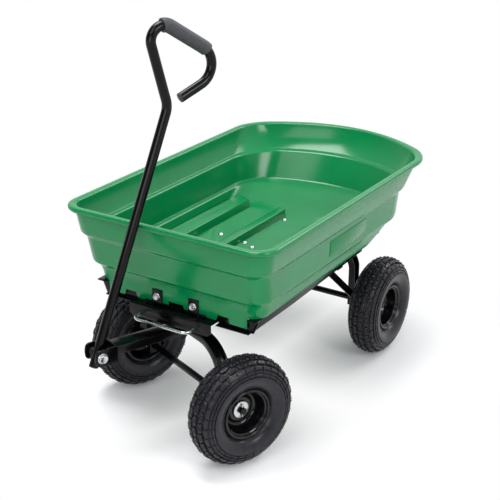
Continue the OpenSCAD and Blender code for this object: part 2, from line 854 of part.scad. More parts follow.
// Diagonal brace: an eye on the axle, and a flat bar up to the middle cross bar
module brace() {
  run = mid_bar_ahead;
  rise = bar_z - axle_z;
  angle = atan(rise / run);
  half_cut = brace_w / 2 / sin(angle);
  translate([rear_x, rear_leg_outer + brace_t, axle_z]) rotate([90, 0, 0]) linear_extrude(height = brace_t)
    difference() {
      union() {
        circle(r = brace_eye_r);
        polygon([[brace_w / 2 * sin(angle), -brace_w / 2 * cos(angle)], [run + half_cut, rise],
          [run - half_cut, rise], [-brace_w / 2 * sin(angle), brace_w / 2 * cos(angle)]]);
      }
      circle(r = axle_d / 2);
    }
}

module left_brace() {
  color(black) brace();
}

module right_brace() {
  color(black) mirror([0, 1, 0]) brace();
}

axle_pin_y = hub_outer_y + gap + axle_washer_t + pin_room;
axle_half = axle_pin_y + axle_tail;

module axle_bar() {
  color(black) translate([0, 0, axle_z]) difference() {
    cross_cylinder(axle_d / 2, -axle_half, axle_half);
    for (y = [-axle_pin_y, axle_pin_y]) translate([0, y, -axle_d]) cylinder(d = pin_d, h = 2 * axle_d);
  }
}

module axle_ring(d, y0, y1) {
  translate([0, 0, axle_z]) difference() {
    cross_cylinder(d / 2, y0, y1);
    cross_cylinder(axle_d / 2, y0 - cut, y1 + cut);
  }
}

module outer_washers() {
  both_sides() axle_ring(axle_washer_d, hub_outer_y + gap, hub_outer_y + gap + axle_washer_t);
}

module split_pins() {
  color(zinc) for (y = [-axle_pin_y, axle_pin_y]) translate([0, y, axle_z - pin_len / 2])
    cylinder(d = pin_d, h = pin_len);
}

module rear_axle() {
  translate([rear_x, 0, 0]) axle_bar();
}

module rear_axle_spacers() {
  color(black) translate([rear_x, 0, 0]) both_sides()
    axle_ring(spacer_d, rear_leg_outer + brace_t, hub_inner_y - gap);
}

module rear_axle_washers() {
  color(zinc) translate([rear_x, 0, 0]) outer_washers();
}

module rear_split_pins() {
  translate([rear_x, 0, 0]) split_pins();
}

// Steered front axle

module front_arch() {
  color(black) in_steer() difference() {
    arch(front_arch_half, front_arch_z, front_arch_r, axle_z - leg_below);
    translate([0, 0, axle_z]) cross_cylinder(axle_d / 2, -track / 2, track / 2);
    translate([0, 0, front_arch_z - arch_t - cut]) cylinder(d = kingpin_d + 2 * fit, h = arch_t + 2 * cut);
  }
}

module thrust_washer() {
  color(zinc) in_steer() translate([0, 0, front_arch_z]) difference() {
    cylinder(d = housing_d, h = washer_t);
    translate([0, 0, -cut]) cylinder(d = kingpin_d + 2 * fit, h = washer_t + 2 * cut);
  }
}

module front_axle() {
  in_steer() axle_bar();
}

module front_axle_washers() {
  color(zinc) in_steer() {
    outer_washers();
    both_sides() axle_ring(inner_washer_d, front_arch_half + arch_t / 2, hub_inner_y - gap);
  }
}

module front_split_pins() {
  in_steer() split_pins();
}

// Tongue: a channel open below
module tongue() {
  tongue_from = arch_depth / 2;
  tongue_to = pivot_reach - clevis_back;
  color(black) in_steer() difference() {
    translate([tongue_from, -tongue_w / 2, front_arch_z - tongue_h])
      cube([tongue_to - tongue_from, tongue_w, tongue_h]);
    translate([tongue_from - cut, sheet - tongue_w / 2, front_arch_z - tongue_h - cut])
      cube([tongue_to - tongue_from + 2 * cut, tongue_w - 2 * sheet, tongue_h - sheet + cut]);
  }
}

module clevis() {
  back_x = pivot_reach - clevis_back;
  color(black) in_steer() difference() {
    union() {
      translate([back_x, -ear_outer, pivot_z - ear_h / 2]) cube([ear_t, 2 * ear_outer, ear_h]);
      both_sides() translate([pivot_reach, ear_outer, pivot_z]) rotate([90, 0, 0])
        linear_extrude(height = ear_t) {
          circle(r = ear_r);
          polygon([[ear_t - clevis_back, -ear_h / 2], [0, -ear_r], [0, ear_r], [ear_t - clevis_back, ear_h / 2]]);
        }
    }
    translate([pivot_reach, 0, pivot_z]) cross_cylinder(pivot_bolt_d / 2, -ear_gap, ear_gap);
  }
}

module clevis_bolt() {
  color(zinc) in_steer() translate([pivot_reach, 0, pivot_z]) {
    cross_cylinder(pivot_bolt_d / 2, -ear_outer - clevis_nut_h, ear_outer);
    translate([0, ear_outer, 0]) rotate([-90, 0, 0]) hex(clevis_head_d, clevis_head_h);
  }
}

module clevis_nut() {
  color(zinc) in_steer() translate([pivot_reach, -ear_outer, pivot_z]) rotate([90, 0, 0]) difference() {
    hex(clevis_head_d, clevis_nut_h);
    translate([0, 0, -cut]) cylinder(d = pivot_bolt_d, h = clevis_nut_h + 2 * cut);
  }
}

// Handle

function handle_steps(more) = [[shaft_tail + shaft_len + more, kink_r, kink_angle], [rise_len, top_r, -top_angle],
  [grip_run, back_r, -back_angle], [tail_len + more, 0, 0]];

module handle_tube() {
  color(black) in_handle() difference() {
    translate([0, 0, -shaft_tail]) bent_rod(handle_steps(0), tube_d / 2);
    translate([0, 0, -shaft_tail - cut]) bent_rod(handle_steps(cut), tube_d / 2 - tube_wall);
    cross_cylinder(pivot_bolt_d / 2 + fit, -tube_d, tube_d);
  }
}

// Frame at the start of the straight tube under the grip
module at_grip() {
  in_handle() translate([0, 0, shaft_len]) translate([kink_r * (1 - cos(kink_angle)), 0, kink_r * sin(kink_angle)])
    rotate([0, kink_angle, 0]) translate([-top_r * (1 - cos(top_angle)), 0, rise_len + top_r * sin(top_angle)])
      rotate([0, -top_angle, 0]) children();
}

// The straight run and the near ends of the bends on each side of it
module grip_core(r, more) {
  cylinder(r = r, h = grip_run);
  translate([-top_r, 0, 0]) rotate([90, 0, 0]) rotate([0, 0, -grip_on_top - more])
    rotate_extrude(angle = grip_on_top + more + bend_lap) translate([top_r, 0]) circle(r = r + bend_step);
  translate([-back_r, 0, grip_run]) rotate([90, 0, 0]) rotate([0, 0, -bend_lap])
    rotate_extrude(angle = grip_on_back + more + bend_lap) translate([back_r, 0]) circle(r = r + bend_step);
}

// Foam sleeve drawn over the straight run and a little way round both bends
module grip() {
  color(foam) at_grip() difference() {
    grip_core(grip_d / 2, 0);
    grip_core(tube_d / 2, bend_lap);
  }
}

module pivot_spacers() {
  color(black) in_handle() both_sides() difference() {
    cross_cylinder(spacer_ring_d / 2, tube_d / 2 + fit, ear_gap / 2 - gap);
    cross_cylinder(pivot_bolt_d / 2 + fit, 0, ear_gap);
  }
}

// Plastic plugs in the two open ends of the tube
module tube_caps() {
  color(rubber) {
    in_handle() translate([0, 0, -shaft_tail - cap_t]) {
      cylinder(d = tube_d, h = cap_t);
      cylinder(r = tube_d / 2 - tube_wall, h = 2 * cap_t);
    }
    at_grip() translate([-back_r * (1 - cos(back_angle)), 0, grip_run + back_r * sin(back_angle)])
      rotate([0, -back_angle, 0]) translate([0, 0, tail_len]) {
        cylinder(d = tube_d, h = cap_t);
        translate([0, 0, -cap_t]) cylinder(r = tube_d / 2 - tube_wall, h = 2 * cap_t);
      }
  }
}

// Wheels: modelled with the axle along +Z, outboard side up, middle plane at zero

bead_r = rim_seat_d / 2;
section_mid = (tyre_d / 2 + bead_r) / 2;
section_half = (tyre_d / 2 - bead_r) / 2;

function power_curve(v) = sign(v) * pow(abs(v), 2 / tyre_power);

// Rounded section: half width and half height, as points of radius and place across the tyre
function section(half_w, half_h) = [for (i = [0 : section_steps - 1]) let (a = 360 * i / section_steps)
  [section_mid + half_h * power_curve(cos(a)), half_w * power_curve(sin(a))]];

module tyre_solid() {
  rotate_extrude() difference() {
    polygon(section(tyre_w / 2, section_half));
    polygon(section(tyre_w / 2 - tyre_wall, section_half - tyre_wall));
    translate([0, -bead_open]) square([section_mid, 2 * bead_open]);
    for (y = [-groove_y, groove_y]) translate([tyre_d / 2 - groove_deep, y - groove_w / 2])
      square([groove_deep + cut, groove_w]);
  }
}

module rim_solid() {
  lip = rim_w / 2;
  inner_r = bead_r - rim_t;
  flange_r = rim_flange_d / 2;
  disc = rim_t / 2;
  disc_top = disc + hub_out - disc_back;
  dish_top = lip - rim_dish;
  rise = dish_top - disc_top;
  run = inner_r - rim_disc_r;
  drop = rim_t * norm([rise, run]) / run;
  back_r = inner_r - (rise + rim_t - drop) * run / rise;
  rotate_extrude() polygon([[flange_r, lip], [flange_r, lip - rim_lip_t], [bead_r, lip - rim_lip_t],
    [bead_r, rim_lip_t - lip], [flange_r, rim_lip_t - lip], [flange_r, -lip], [inner_r, -lip],
    [inner_r, dish_top - drop], [back_r, disc_top - rim_t], [hub_d / 2, disc_top - rim_t],
    [hub_d / 2, disc_top], [rim_disc_r, disc_top], [inner_r, dish_top], [inner_r, lip]]);
}

hub_out = hub_outer_y - track / 2;

module hub_solid() {
  difference() {
    translate([0, 0, hub_out - hub_len]) cylinder(d = hub_d, h = hub_len);
    translate([0, 0, hub_out - hub_len - cut]) cylinder(d = bearing_d, h = hub_len + 2 * cut);
  }
}

module bearing_solids() {
  for (z = [hub_out - hub_len, hub_out - bearing_len]) translate([0, 0, z]) difference() {
    cylinder(d = bearing_d, h = bearing_len);
    translate([0, 0, -cut]) cylinder(d = axle_d + 2 * fit, h = bearing_len + 2 * cut);
  }
}

module front_left() {
  in_steer() translate([0, track / 2, axle_z]) rotate([-90, 0, 0]) children();
}

module front_right() {
  in_steer() translate([0, -track / 2, axle_z]) rotate([0, 0, 180]) rotate([-90, 0, 0]) children();
}

module rear_left() {
  translate([rear_x, track / 2, axle_z]) rotate([-90, 0, 0]) children();
}

module rear_right() {
  translate([rear_x, -track / 2, axle_z]) rotate([0, 0, 180]) rotate([-90, 0, 0]) children();
}

module tyre_fl() { color(rubber) front_left() tyre_solid(); }
module rim_fl() { color(black) front_left() rim_solid(); }
module hub_fl() { color(black) front_left() hub_solid(); }
module bearings_fl() { color(zinc) front_left() bearing_solids(); }
module tyre_fr() { color(rubber) front_right() tyre_solid(); }
module rim_fr() { color(black) front_right() rim_solid(); }
module hub_fr() { color(black) front_right() hub_solid(); }
module bearings_fr() { color(zinc) front_right() bearing_solids(); }
module tyre_rl() { color(rubber) rear_left() tyre_solid(); }
module rim_rl() { color(black) rear_left() rim_solid(); }
module hub_rl() { color(black) rear_left() hub_solid(); }
module bearings_rl() { color(zinc) rear_left() bearing_solids(); }
module tyre_rr() { color(rubber) rear_right() tyre_solid(); }
module rim_rr() { color(black) rear_right() rim_solid(); }
module hub_rr() { color(black) rear_right() hub_solid(); }
module bearings_rr() { color(zinc) rear_right() bearing_solids(); }

tub();
striker_plate();
striker_lugs();
striker_bolts();
hinge_bracket();
hinge_rod();
hinge_clips();
floor_strap();
floor_bolts();
left_rail();
right_rail();
front_angle();
latch_beam();
latch_guides();
bolster_bar();
bolster_plate();
kingpin_housing();
kingpin();
kingpin_nut();
mid_bar();
rear_bar();
hinge_lugs();
rear_arch();
left_brace();
right_brace();
rear_axle();
rear_axle_spacers();
rear_axle_washers();
rear_split_pins();
arch_bolts();
front_arch();
thrust_washer();
front_axle();
front_axle_washers();
front_split_pins();
tongue();
clevis();
clevis_bolt();
clevis_nut();
handle_tube();
grip();
pivot_spacers();
tube_caps();
release_bail();
tyre_fl();
rim_fl();
hub_fl();
bearings_fl();
tyre_fr();
rim_fr();
hub_fr();
bearings_fr();
tyre_rl();
rim_rl();
hub_rl();
bearings_rl();
tyre_rr();
rim_rr();
hub_rr();
bearings_rr();
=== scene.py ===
"""Tipping dump cart: a green tub on a black steel frame, four air-tyred wheels and a pull handle.

Lengths are in millimetres in the named values and become metres where a mesh is made.
The frame is the CAD's: +X forward, +Y to the cart's left, +Z up, origin on the ground.
"""
import bisect
import json
import math

import bmesh
import bpy
from mathutils import Matrix, Quaternion, Vector


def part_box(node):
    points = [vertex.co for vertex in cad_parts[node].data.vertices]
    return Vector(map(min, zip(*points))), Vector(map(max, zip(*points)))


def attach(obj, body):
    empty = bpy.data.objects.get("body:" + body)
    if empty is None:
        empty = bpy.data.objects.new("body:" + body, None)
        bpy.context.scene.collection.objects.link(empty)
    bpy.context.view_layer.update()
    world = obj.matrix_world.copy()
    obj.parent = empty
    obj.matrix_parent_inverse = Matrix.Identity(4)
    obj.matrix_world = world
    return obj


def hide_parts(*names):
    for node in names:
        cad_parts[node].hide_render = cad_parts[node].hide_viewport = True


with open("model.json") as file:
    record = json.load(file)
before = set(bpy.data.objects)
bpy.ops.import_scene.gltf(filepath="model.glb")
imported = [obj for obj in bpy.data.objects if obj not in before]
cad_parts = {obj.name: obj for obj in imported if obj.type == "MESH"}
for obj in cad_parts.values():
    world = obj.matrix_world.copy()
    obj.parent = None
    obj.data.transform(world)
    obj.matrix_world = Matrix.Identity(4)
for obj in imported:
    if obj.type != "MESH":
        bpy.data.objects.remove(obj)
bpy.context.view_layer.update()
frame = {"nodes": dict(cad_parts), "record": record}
MM = 0.001

joints = {joint["name"]: joint for joint in frame["record"]["behaviour"]["joints"]}
bodies = frame["record"]["behaviour"]["bodies"]
body_of_node = {node: body for body, nodes in bodies.items() for node in nodes}
slot_of_node = {part["node"]: part["material_slot"] for part in frame["record"]["subparts"]}
kingpin_x = joints["steering"]["pos_m"][0] / MM
rear_x = joints["rear_left_spin"]["pos_m"][0] / MM
pivot = Vector(joints["handle_pivot"]["pos_m"]) / MM
ahead, left, up = Vector((1, 0, 0)), Vector((0, 1, 0)), Vector((0, 0, 1))
# The parked front axle's own left and ahead
steer_left = Vector(joints["handle_pivot"]["axis"])
steer_ahead = Vector((steer_left.y, -steer_left.x, 0))


# Materials

def srgb(code):
    """Linear colour of a hex sRGB code."""
    parts = [int(code[i:i + 2], 16) / 255 for i in (1, 3, 5)]
    return tuple(c / 12.92 if c <= 0.04045 else ((c + 0.055) / 1.055) ** 2.4 for c in parts) + (1,)


def dress(tree, node, settings=None, links=None):
    """Sets a node's sockets and properties, and links its sockets to (node, output) pairs."""
    for key, value in (settings or {}).items():
        if isinstance(key, int) or key in node.inputs:
            node.inputs[key].default_value = value
        else:
            setattr(node, key, value)
    for key, (source, output) in (links or {}).items():
        tree.links.new(source.outputs[output], node.inputs[key])
    return node


def add(tree, kind, settings=None, links=None):
    """Adds a node with its settings, by socket or property, and its links."""
    return dress(tree, tree.nodes.new(kind), settings, links)


def new_material(name):
    """A new material, its node tree, its shader, and the link that lays a pattern on the piece."""
    material = bpy.data.materials.new(name)
    material.use_nodes = True
    tree = material.node_tree
    on_piece = {"Vector": (add(tree, "ShaderNodeTexCoord"), "Object")}
    return material, tree, tree.nodes["Principled BSDF"], on_piece


def per_mm(size):
    """Noise scale whose features are about this many millimetres across."""
    return 1 / (size * MM)


def moulded_polypropylene():
    """Tub: injection-moulded green plastic, smooth and waxy, with a flow mottle and fine grain."""
    material, tree, shader, on_piece = new_material("moulded_green_polypropylene")
    mottle = add(tree, "ShaderNodeTexNoise", {"Scale": per_mm(90), "Detail": 3.0}, on_piece)
    colour = add(tree, "ShaderNodeValToRGB", links={"Fac": (mottle, "Fac")})
    colour.color_ramp.elements[0].color = srgb("#006c3a")
    colour.color_ramp.elements[1].color = srgb("#027842")
    rough = add(tree, "ShaderNodeMapRange", {"To Min": 0.14, "To Max": 0.24},
                {"Value": (mottle, "Fac")})
    # Moulding grain is a few tenths of a millimetre; it is drawn at 2.5 mm so that it shows
    grain = add(tree, "ShaderNodeTexNoise", {"Scale": per_mm(2.5), "Detail": 2.0}, on_piece)
    bump = add(tree, "ShaderNodeBump", {"Strength": 0.05, "Distance": 0.2 * MM},
               {"Height": (grain, "Fac")})
    dress(tree, shader, {"IOR": 1.49, "Specular IOR Level": 0.4},
          {"Base Color": (colour, "Color"), "Roughness": (rough, "Result"),
           "Normal": (bump, "Normal")})
    return material


def powder_coat():
    """Frame: gloss black powder coat on bent steel, with the slight orange peel of a baked coat."""
    material, tree, shader, on_piece = new_material("black_powder_coat")
    patch = add(tree, "ShaderNodeTexNoise", {"Scale": per_mm(40), "Detail": 4.0}, on_piece)
    colour = add(tree, "ShaderNodeValToRGB", links={"Fac": (patch, "Fac")})
    colour.color_ramp.elements[0].color = srgb("#040405")
    colour.color_ramp.elements[1].color = srgb("#08080a")
    rough = add(tree, "ShaderNodeMapRange", {"To Min": 0.12, "To Max": 0.24},
                {"Value": (patch, "Fac")})
    # Orange peel, drawn a little coarser than it is so that it shows
    peel = add(tree, "ShaderNodeTexNoise", {"Scale": per_mm(3), "Detail": 2.0}, on_piece)
    bump = add(tree, "ShaderNodeBump", {"Strength": 0.12, "Distance": 0.2 * MM},
               {"Height": (peel, "Fac")})
    dress(tree, shader, {"Specular IOR Level": 0.22},
          {"Base Color": (colour, "Color"), "Roughness": (rough, "Result"),
           "Normal": (bump, "Normal")})
    return material


def baked_enamel():
    """Wheel rims: wet-looking black enamel over pressed steel, smoother than the frame's coat."""
    material, tree, shader, on_piece = new_material("gloss_black_enamel")
    flow = add(tree, "ShaderNodeTexNoise", {"Scale": per_mm(9), "Detail": 1.0}, on_piece)
    colour = add(tree, "ShaderNodeValToRGB", links={"Fac": (flow, "Fac")})
    colour.color_ramp.elements[0].color = srgb("#08080a")
    colour.color_ramp.elements[1].color = srgb("#0d0d10")
    bump = add(tree, "ShaderNodeBump", {"Strength": 0.02, "Distance": 0.2 * MM},
               {"Height": (flow, "Fac")})
    dress(tree, shader, {"Roughness": 0.1, "Specular IOR Level": 0.36},
          {"Base Color": (colour, "Color"), "Normal": (bump, "Normal")})
    return material


def zinc_plate():
    """Bolts, washers and bail: bright zinc plate on steel, silvery with a faint clouding."""
    material, tree, shader, on_piece = new_material("bright_zinc_plate")
    cloud = add(tree, "ShaderNodeTexNoise", {"Scale": per_mm(6), "Detail": 4.0}, on_piece)
    colour = add(tree, "ShaderNodeValToRGB", links={"Fac": (cloud, "Fac")})
    colour.color_ramp.elements[0].color = srgb("#b9bcbe")
    colour.color_ramp.elements[1].color = srgb("#dfe1e2")
    rough = add(tree, "ShaderNodeMapRange", {"To Min": 0.16, "To Max": 0.32},
                {"Value": (cloud, "Fac")})
    dress(tree, shader, {"Metallic": 1.0},
          {"Base Color": (colour, "Color"), "Roughness": (rough, "Result")})
    return material


def tyre_rubber():
    """Tyres: moulded carbon-black rubber with a soft sheen, a little dustier in places."""
    material, tree, shader, on_piece = new_material("moulded_tyre_rubber")
    dust = add(tree, "ShaderNodeTexNoise", {"Scale": per_mm(14), "Detail": 5.0}, on_piece)
    colour = add(tree, "ShaderNodeValToRGB", links={"Fac": (dust, "Fac")})
    colour.color_ramp.elements[0].color = srgb("#16161b")
    colour.color_ramp.elements[1].color = srgb("#25252b")
    rough = add(tree, "ShaderNodeMapRange", {"To Min": 0.22, "To Max": 0.36},
                {"Value": (dust, "Fac")})
    fine = add(tree, "ShaderNodeTexNoise", {"Scale": per_mm(1.5), "Detail": 2.0}, on_piece)
    bump = add(tree, "ShaderNodeBump", {"Strength": 0.2, "Distance": 0.2 * MM},
               {"Height": (fine, "Fac")})
    dress(tree, shader, {"Specular IOR Level": 0.3},
          {"Base Color": (colour, "Color"), "Roughness": (rough, "Result"),
           "Normal": (bump, "Normal")})
    return material


def grip_rubber():
    """Grip: dark grey foam rubber with a fine pebbled skin."""
    material, tree, shader, on_piece = new_material("pebbled_grip_rubber")
    pebble = add(tree, "ShaderNodeTexVoronoi", {"Scale": per_mm(1.6)}, on_piece)
    colour = add(tree, "ShaderNodeValToRGB", links={"Fac": (pebble, "Distance")})
    colour.color_ramp.elements[0].color = srgb("#2c2d30")
    colour.color_ramp.elements[1].color = srgb("#3b3c40")
    bump = add(tree, "ShaderNodeBump", {"Strength": 0.25, "Distance": 0.2 * MM},
               {"Height": (pebble, "Distance")})
    dress(tree, shader, {"Roughness": 0.62},
          {"Base Color": (colour, "Color"), "Normal": (bump, "Normal")})
    return material


def nylon():
    """Plugs and pivot spacers: matte black moulded nylon."""
    material, tree, shader, on_piece = new_material("matte_black_nylon")
    grain = add(tree, "ShaderNodeTexNoise", {"Scale": per_mm(1.2), "Detail": 2.0}, on_piece)
    colour = add(tree, "ShaderNodeValToRGB", links={"Fac": (grain, "Fac")})
    colour.color_ramp.elements[0].color = srgb("#101011")
    colour.color_ramp.elements[1].color = srgb("#19191b")
    dress(tree, shader, {"Roughness": 0.5}, {"Base Color": (colour, "Color")})
    return material


finishes = {
    "tub_green": moulded_polypropylene(),
    "black_paint": powder_coat(),
    "rim_enamel": baked_enamel(),
    "zinc": zinc_plate(),
    "tyre_rubber": tyre_rubber(),
    "grip_rubber": grip_rubber(),
    "black_plastic": nylon(),
}


# Modelling

def deselect_all():
    """Leaves object mode with nothing selected."""
    if bpy.context.object and bpy.context.object.mode != "OBJECT":
        bpy.ops.object.mode_set(mode="OBJECT")
    bpy.ops.object.select_all(action="DESELECT")


def select_only(obj):
    """Makes an object the only one selected, and active."""
    deselect_all()
    obj.select_set(True)
    bpy.context.view_layer.objects.active = obj


def finish_piece(obj, name, nodes, finish, body=None, smooth=35):
    """Names a piece, gives it its finish, and lets it stand for its CAD nodes.

    Edges up to the smooth angle, in degrees, are shaded smooth.
    """
    select_only(obj)
    obj.name = name
    obj.data.name = name
    obj.data.materials.clear()
    obj.data.materials.append(finishes[finish])
    bpy.ops.object.shade_smooth_by_angle(angle=math.radians(smooth))
    if nodes:
        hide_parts(*nodes)
    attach(obj, body or body_of_node[nodes[0]])
    return obj


def copy_at(source, name, place):
    """A copy of an object at a place, with its own mesh and that place in the mesh."""
    obj = bpy.data.objects.new(name, source.data.copy())
    obj.matrix_world = place
    bpy.context.scene.collection.objects.link(obj)
    select_only(obj)
    bpy.ops.object.transform_apply(location=True, rotation=True, scale=True)
    return obj


def place_key(vert):
    """A vertex's place, rounded so that it can be looked up."""
    return tuple(round(c, 7) for c in vert.co)


def loft(rings):
    """A disc on the first ring, extruded ring by ring to the last.

    Rings are lists of points in millimetres.
    """
    deselect_all()
    bpy.ops.mesh.primitive_circle_add(vertices=len(rings[0]), fill_type="NGON")
    obj = bpy.context.object
    bpy.ops.object.mode_set(mode="EDIT")
    edge = list(bmesh.from_edit_mesh(obj.data).verts)
    for vert, point in zip(edge, rings[0]):
        vert.co = Vector(point) * MM
    for ring in rings[1:]:
        order = {place_key(vert): i for i, vert in enumerate(edge)}
        bpy.ops.mesh.extrude_region_move()
        raised = [vert for vert in bmesh.from_edit_mesh(obj.data).verts if vert.select]
        edge = sorted(raised, key=lambda vert: order[place_key(vert)])
        for vert, point in zip(edge, ring):
            vert.co = Vector(point) * MM
    bmesh.update_edit_mesh(obj.data)
    bpy.ops.mesh.select_all(action="SELECT")
    bpy.ops.mesh.normals_make_consistent(inside=False)
    bpy.ops.object.mode_set(mode="OBJECT")
    return obj


def join(pieces):
    """Joins meshes into the first one."""
    deselect_all()
    for piece in pieces:
        piece.select_set(True)
    bpy.context.view_layer.objects.active = pieces[0]
    bpy.ops.object.join()
    return pieces[0]


def round_edges(obj, width, segments=2, angle=40):
    """Bevels the edges of a mesh that are sharper than an angle in degrees."""
    select_only(obj)
    bevel = obj.modifiers.new("rounding", "BEVEL")
    bevel.width = width * MM
    bevel.segments = segments
    bevel.limit_method = "ANGLE"
    bevel.angle_limit = math.radians(angle)
    bpy.ops.object.modifier_apply(modifier=bevel.name)
    return obj


# Softened pieces: width of the rounded edges
soft_edge = 0.6
# The gap, and the angle in degrees, below which CAD faces are made whole
weld_gap, flat_angle = 0.005, 0.5


def softened(node):
    """A copy of a CAD node with its flat faces whole and its edges rounded."""
    source, slot = frame["nodes"][node], slot_of_node[node]
    obj = copy_at(source, node + "_soft", source.matrix_world)
    bpy.ops.object.mode_set(mode="EDIT")
    bpy.ops.mesh.select_all(action="SELECT")
    bpy.ops.mesh.remove_doubles(threshold=weld_gap * MM)
    bpy.ops.mesh.dissolve_limited(angle_limit=math.radians(flat_angle))
    bpy.ops.object.mode_set(mode="OBJECT")
    round_edges(obj, width=soft_edge)
    return finish_piece(obj, node + "_finished", [node], slot)


def arc(cx, cy, r, a0, a1, steps):
    """Points of an arc about (cx, cy) between two angles in degrees."""
    angles = [math.radians(a0 + (a1 - a0) * i / steps) for i in range(steps + 1)]
    return [(cx + r * math.cos(a), cy + r * math.sin(a)) for a in angles]


# Tub

# Size over the rim, heights of the rim and the bottom, and the rim's reach ahead of the kingpin
tub_len, tub_w = 921, 556
rim_z, tub_z = 522, 332
rim_ahead = 108
# Thickness of the wall and the floor
wall, floor_t = 5, 6
# Bow of the rear end, and corner radius at the rim
rear_bow, rim_r = 118, 52
# How far the bottom's front, sides and rear lie inside the rim
front_in, side_in, rear_in = 64, 63, 270
tub_depth = rim_z - tub_z
rim_front_x = kingpin_x + rim_ahead
rim_rear_x = rim_front_x - tub_len
bottom_front_x = rim_front_x - front_in
floor_rear_x = rim_rear_x + rear_in

# Levels from the bottom up: shares of the depth, of the front, side and rear insets, of the bow,
# and of the rim's corner radius for the front and rear corners
tub_levels = [
    (0, 1, 0.900, 1, 0.275, 0.73, 0.90),
    (0.022, 1, 0.860, 0.904, 0.302, 0.75, 1.10),
    (0.075, 1, 0.820, 0.759, 0.330, 0.76, 1.30),
    (0.195, 0.885, 0.735, 0.430, 0.520, 0.78, 1.60),
    (0.222, 0.760, 0.600, 0.401, 0.530, 0.79, 1.60),
    (0.250, 0.715, 0.555, 0.375, 0.540, 0.80, 1.60),
    (0.600, 0.475, 0.500, 0.237, 0.780, 0.82, 1.65),
    (0.625, 0.365, 0.395, 0.208, 0.790, 0.85, 1.65),
    (0.655, 0.317, 0.344, 0.188, 0.800, 0.86, 1.65),
]
# The levels where the two steps begin, and how far the steps are squeezed in height inside
step_levels, ledge_squeeze = (3, 6), 0.4
# Radii of the steps' edges outside and inside
step_r_out, step_r_in = 3, 2.4
# Steps into which the outline's corners, sides and rear are cut
corner_steps, side_steps, rear_steps = 14, 6, 28

# Rolled rim: its height, and how far it stands out from the wall
lip_h, lip_out = 12, 13
# Bead under the rim's outer edge: its height, and the insets of its two sides
bead_h, bead_in, bead_out = 1.5, 3.4, 2.6
# The roll: its width as a share of its height, and the angles it runs between
roll_share, roll_from, roll_to, roll_steps = 0.8, -80, 90, 10
# The rim's inner edge: how far it lies outside the wall's line, and the steps of its round
mouth_in, mouth_steps = 2, 5


def tub_outline(front, rear, half, bow, r, rear_r):
    """Plan outline with rounded corners and a bowed rear, evenly cut along its straight sides."""
    rear_corner = rear + bow
    side_from, side_to = front - r, rear_corner + rear_r
    points = arc(front - r, r - half, r, -90, 0, corner_steps)
    points += [(front, (half - r) * (2 * i / side_steps - 1)) for i in range(1, side_steps)]
    points += arc(front - r, half - r, r, 0, 90, corner_steps)
    side_xs = [side_from + (side_to - side_from) * i / side_steps for i in range(1, side_steps)]
    points += [(x, half) for x in side_xs]
    rear_points = arc(rear_corner + rear_r, half - rear_r, rear_r, 90, 180, corner_steps)
    rear_ys = [(half - rear_r) * (1 - 2 * i / rear_steps) for i in range(1, rear_steps)]
    rear_points += [(rear_corner, y) for y in rear_ys]
    rear_points += arc(rear_corner + rear_r, rear_r - half, rear_r, 180, 270, corner_steps)
    points += [(x - bow * (1 - (y / half) ** 2), y) for x, y in rear_points]
    points += [(x, -half) for x in reversed(side_xs)]
    return points


def tub_ring(z, front, side, rear, bow, r, rear_r):
    """Outline of the tub at a height, by its insets from the rim, its bow and its corner radii."""
    outline = tub_outline(rim_front_x - front, rim_rear_x + rear, tub_w / 2 - side, bow, r, rear_r)
    return [(x, y, z) for x, y in outline]


def level_sizes(shares, inward, lift):
    """Height, insets, bow and corner radii of a level, moved inward and up."""
    depth, front, side, rear, bow, r, rear_r = shares
    insets = (front_in * front + inward, side_in * side + inward, rear_in * rear + inward)
    radii = (max(rim_r * r - inward, wall), max(rim_r * rear_r - inward, wall))
    return (tub_z + tub_depth * depth + lift,) + insets + (rear_bow * bow,) + radii


def eased(levels, radius):
    """Cuts the corners of a run of levels twice, so that its steps turn in small radii."""
    # The second cut is finer, and no cut takes more than this share of a side
    finer, longest = 2.5, 0.4
    for reach in (radius, radius / finer):
        cut = [levels[0]]
        for before, here, after in zip(levels, levels[1:], levels[2:]):
            for other in (before, after):
                length = math.hypot(other[0] - here[0], other[2] - here[2])
                share = min(reach / length, longest)
                cut.append(tuple(h + (o - h) * share for h, o in zip(here, other)))
        levels = cut + [levels[-1]]
    return levels


def rim_levels():
    """The rolled rim, from under its outer edge over the top to the inside of the wall."""
    def level(drop, inset, r):
        return (rim_z - drop, inset, inset, inset, rear_bow, r, r)

    half = lip_h / 2
    levels = [level(lip_h - bead_h, lip_out, rim_r - lip_out / 2),
              level(lip_h - bead_h, bead_in, rim_r), level(lip_h, bead_out, rim_r)]
    for i in range(roll_steps + 1):
        a = math.radians(roll_from + (roll_to - roll_from) * i / roll_steps)
        inset = half * roll_share * (1 - math.cos(a))
        levels.append(level(half - half * math.sin(a), inset, rim_r - inset / 2))
    for i in range(1, mouth_steps + 1):
        a = math.radians(90 * i / mouth_steps)
        inset = lip_out - mouth_in + (wall + mouth_in) * math.sin(a)
        levels.append(level(half * (1 - math.cos(a)), inset, rim_r - inset / 2))
    return levels


def flat_ledges(levels):
    """The levels with their two steps squeezed in height, for flat and crisp ledges inside."""
    levels = list(levels)
    for low in step_levels:
        middle = levels[low + 1][0]
        for i in (low, low + 2):
            levels[i] = (middle + (levels[i][0] - middle) * ledge_squeeze,) + levels[i][1:]
    return levels


def tub_shell():
    """The tub's skin: up the outside, over the rim, down the inside and across the floor."""
    outer = eased([level_sizes(shares, 0, 0) for shares in tub_levels], step_r_out)
    # The two lowest levels have no inside, because the floor closes the tub above them
    inside = list(reversed(flat_ledges(tub_levels)[2:]))
    inner = eased([level_sizes(shares, wall, wall) for shares in inside], step_r_in)
    floor = level_sizes(tub_levels[1], wall, floor_t - tub_depth * tub_levels[1][0])
    return loft([tub_ring(*level) for level in outer + rim_levels() + inner + [floor]])


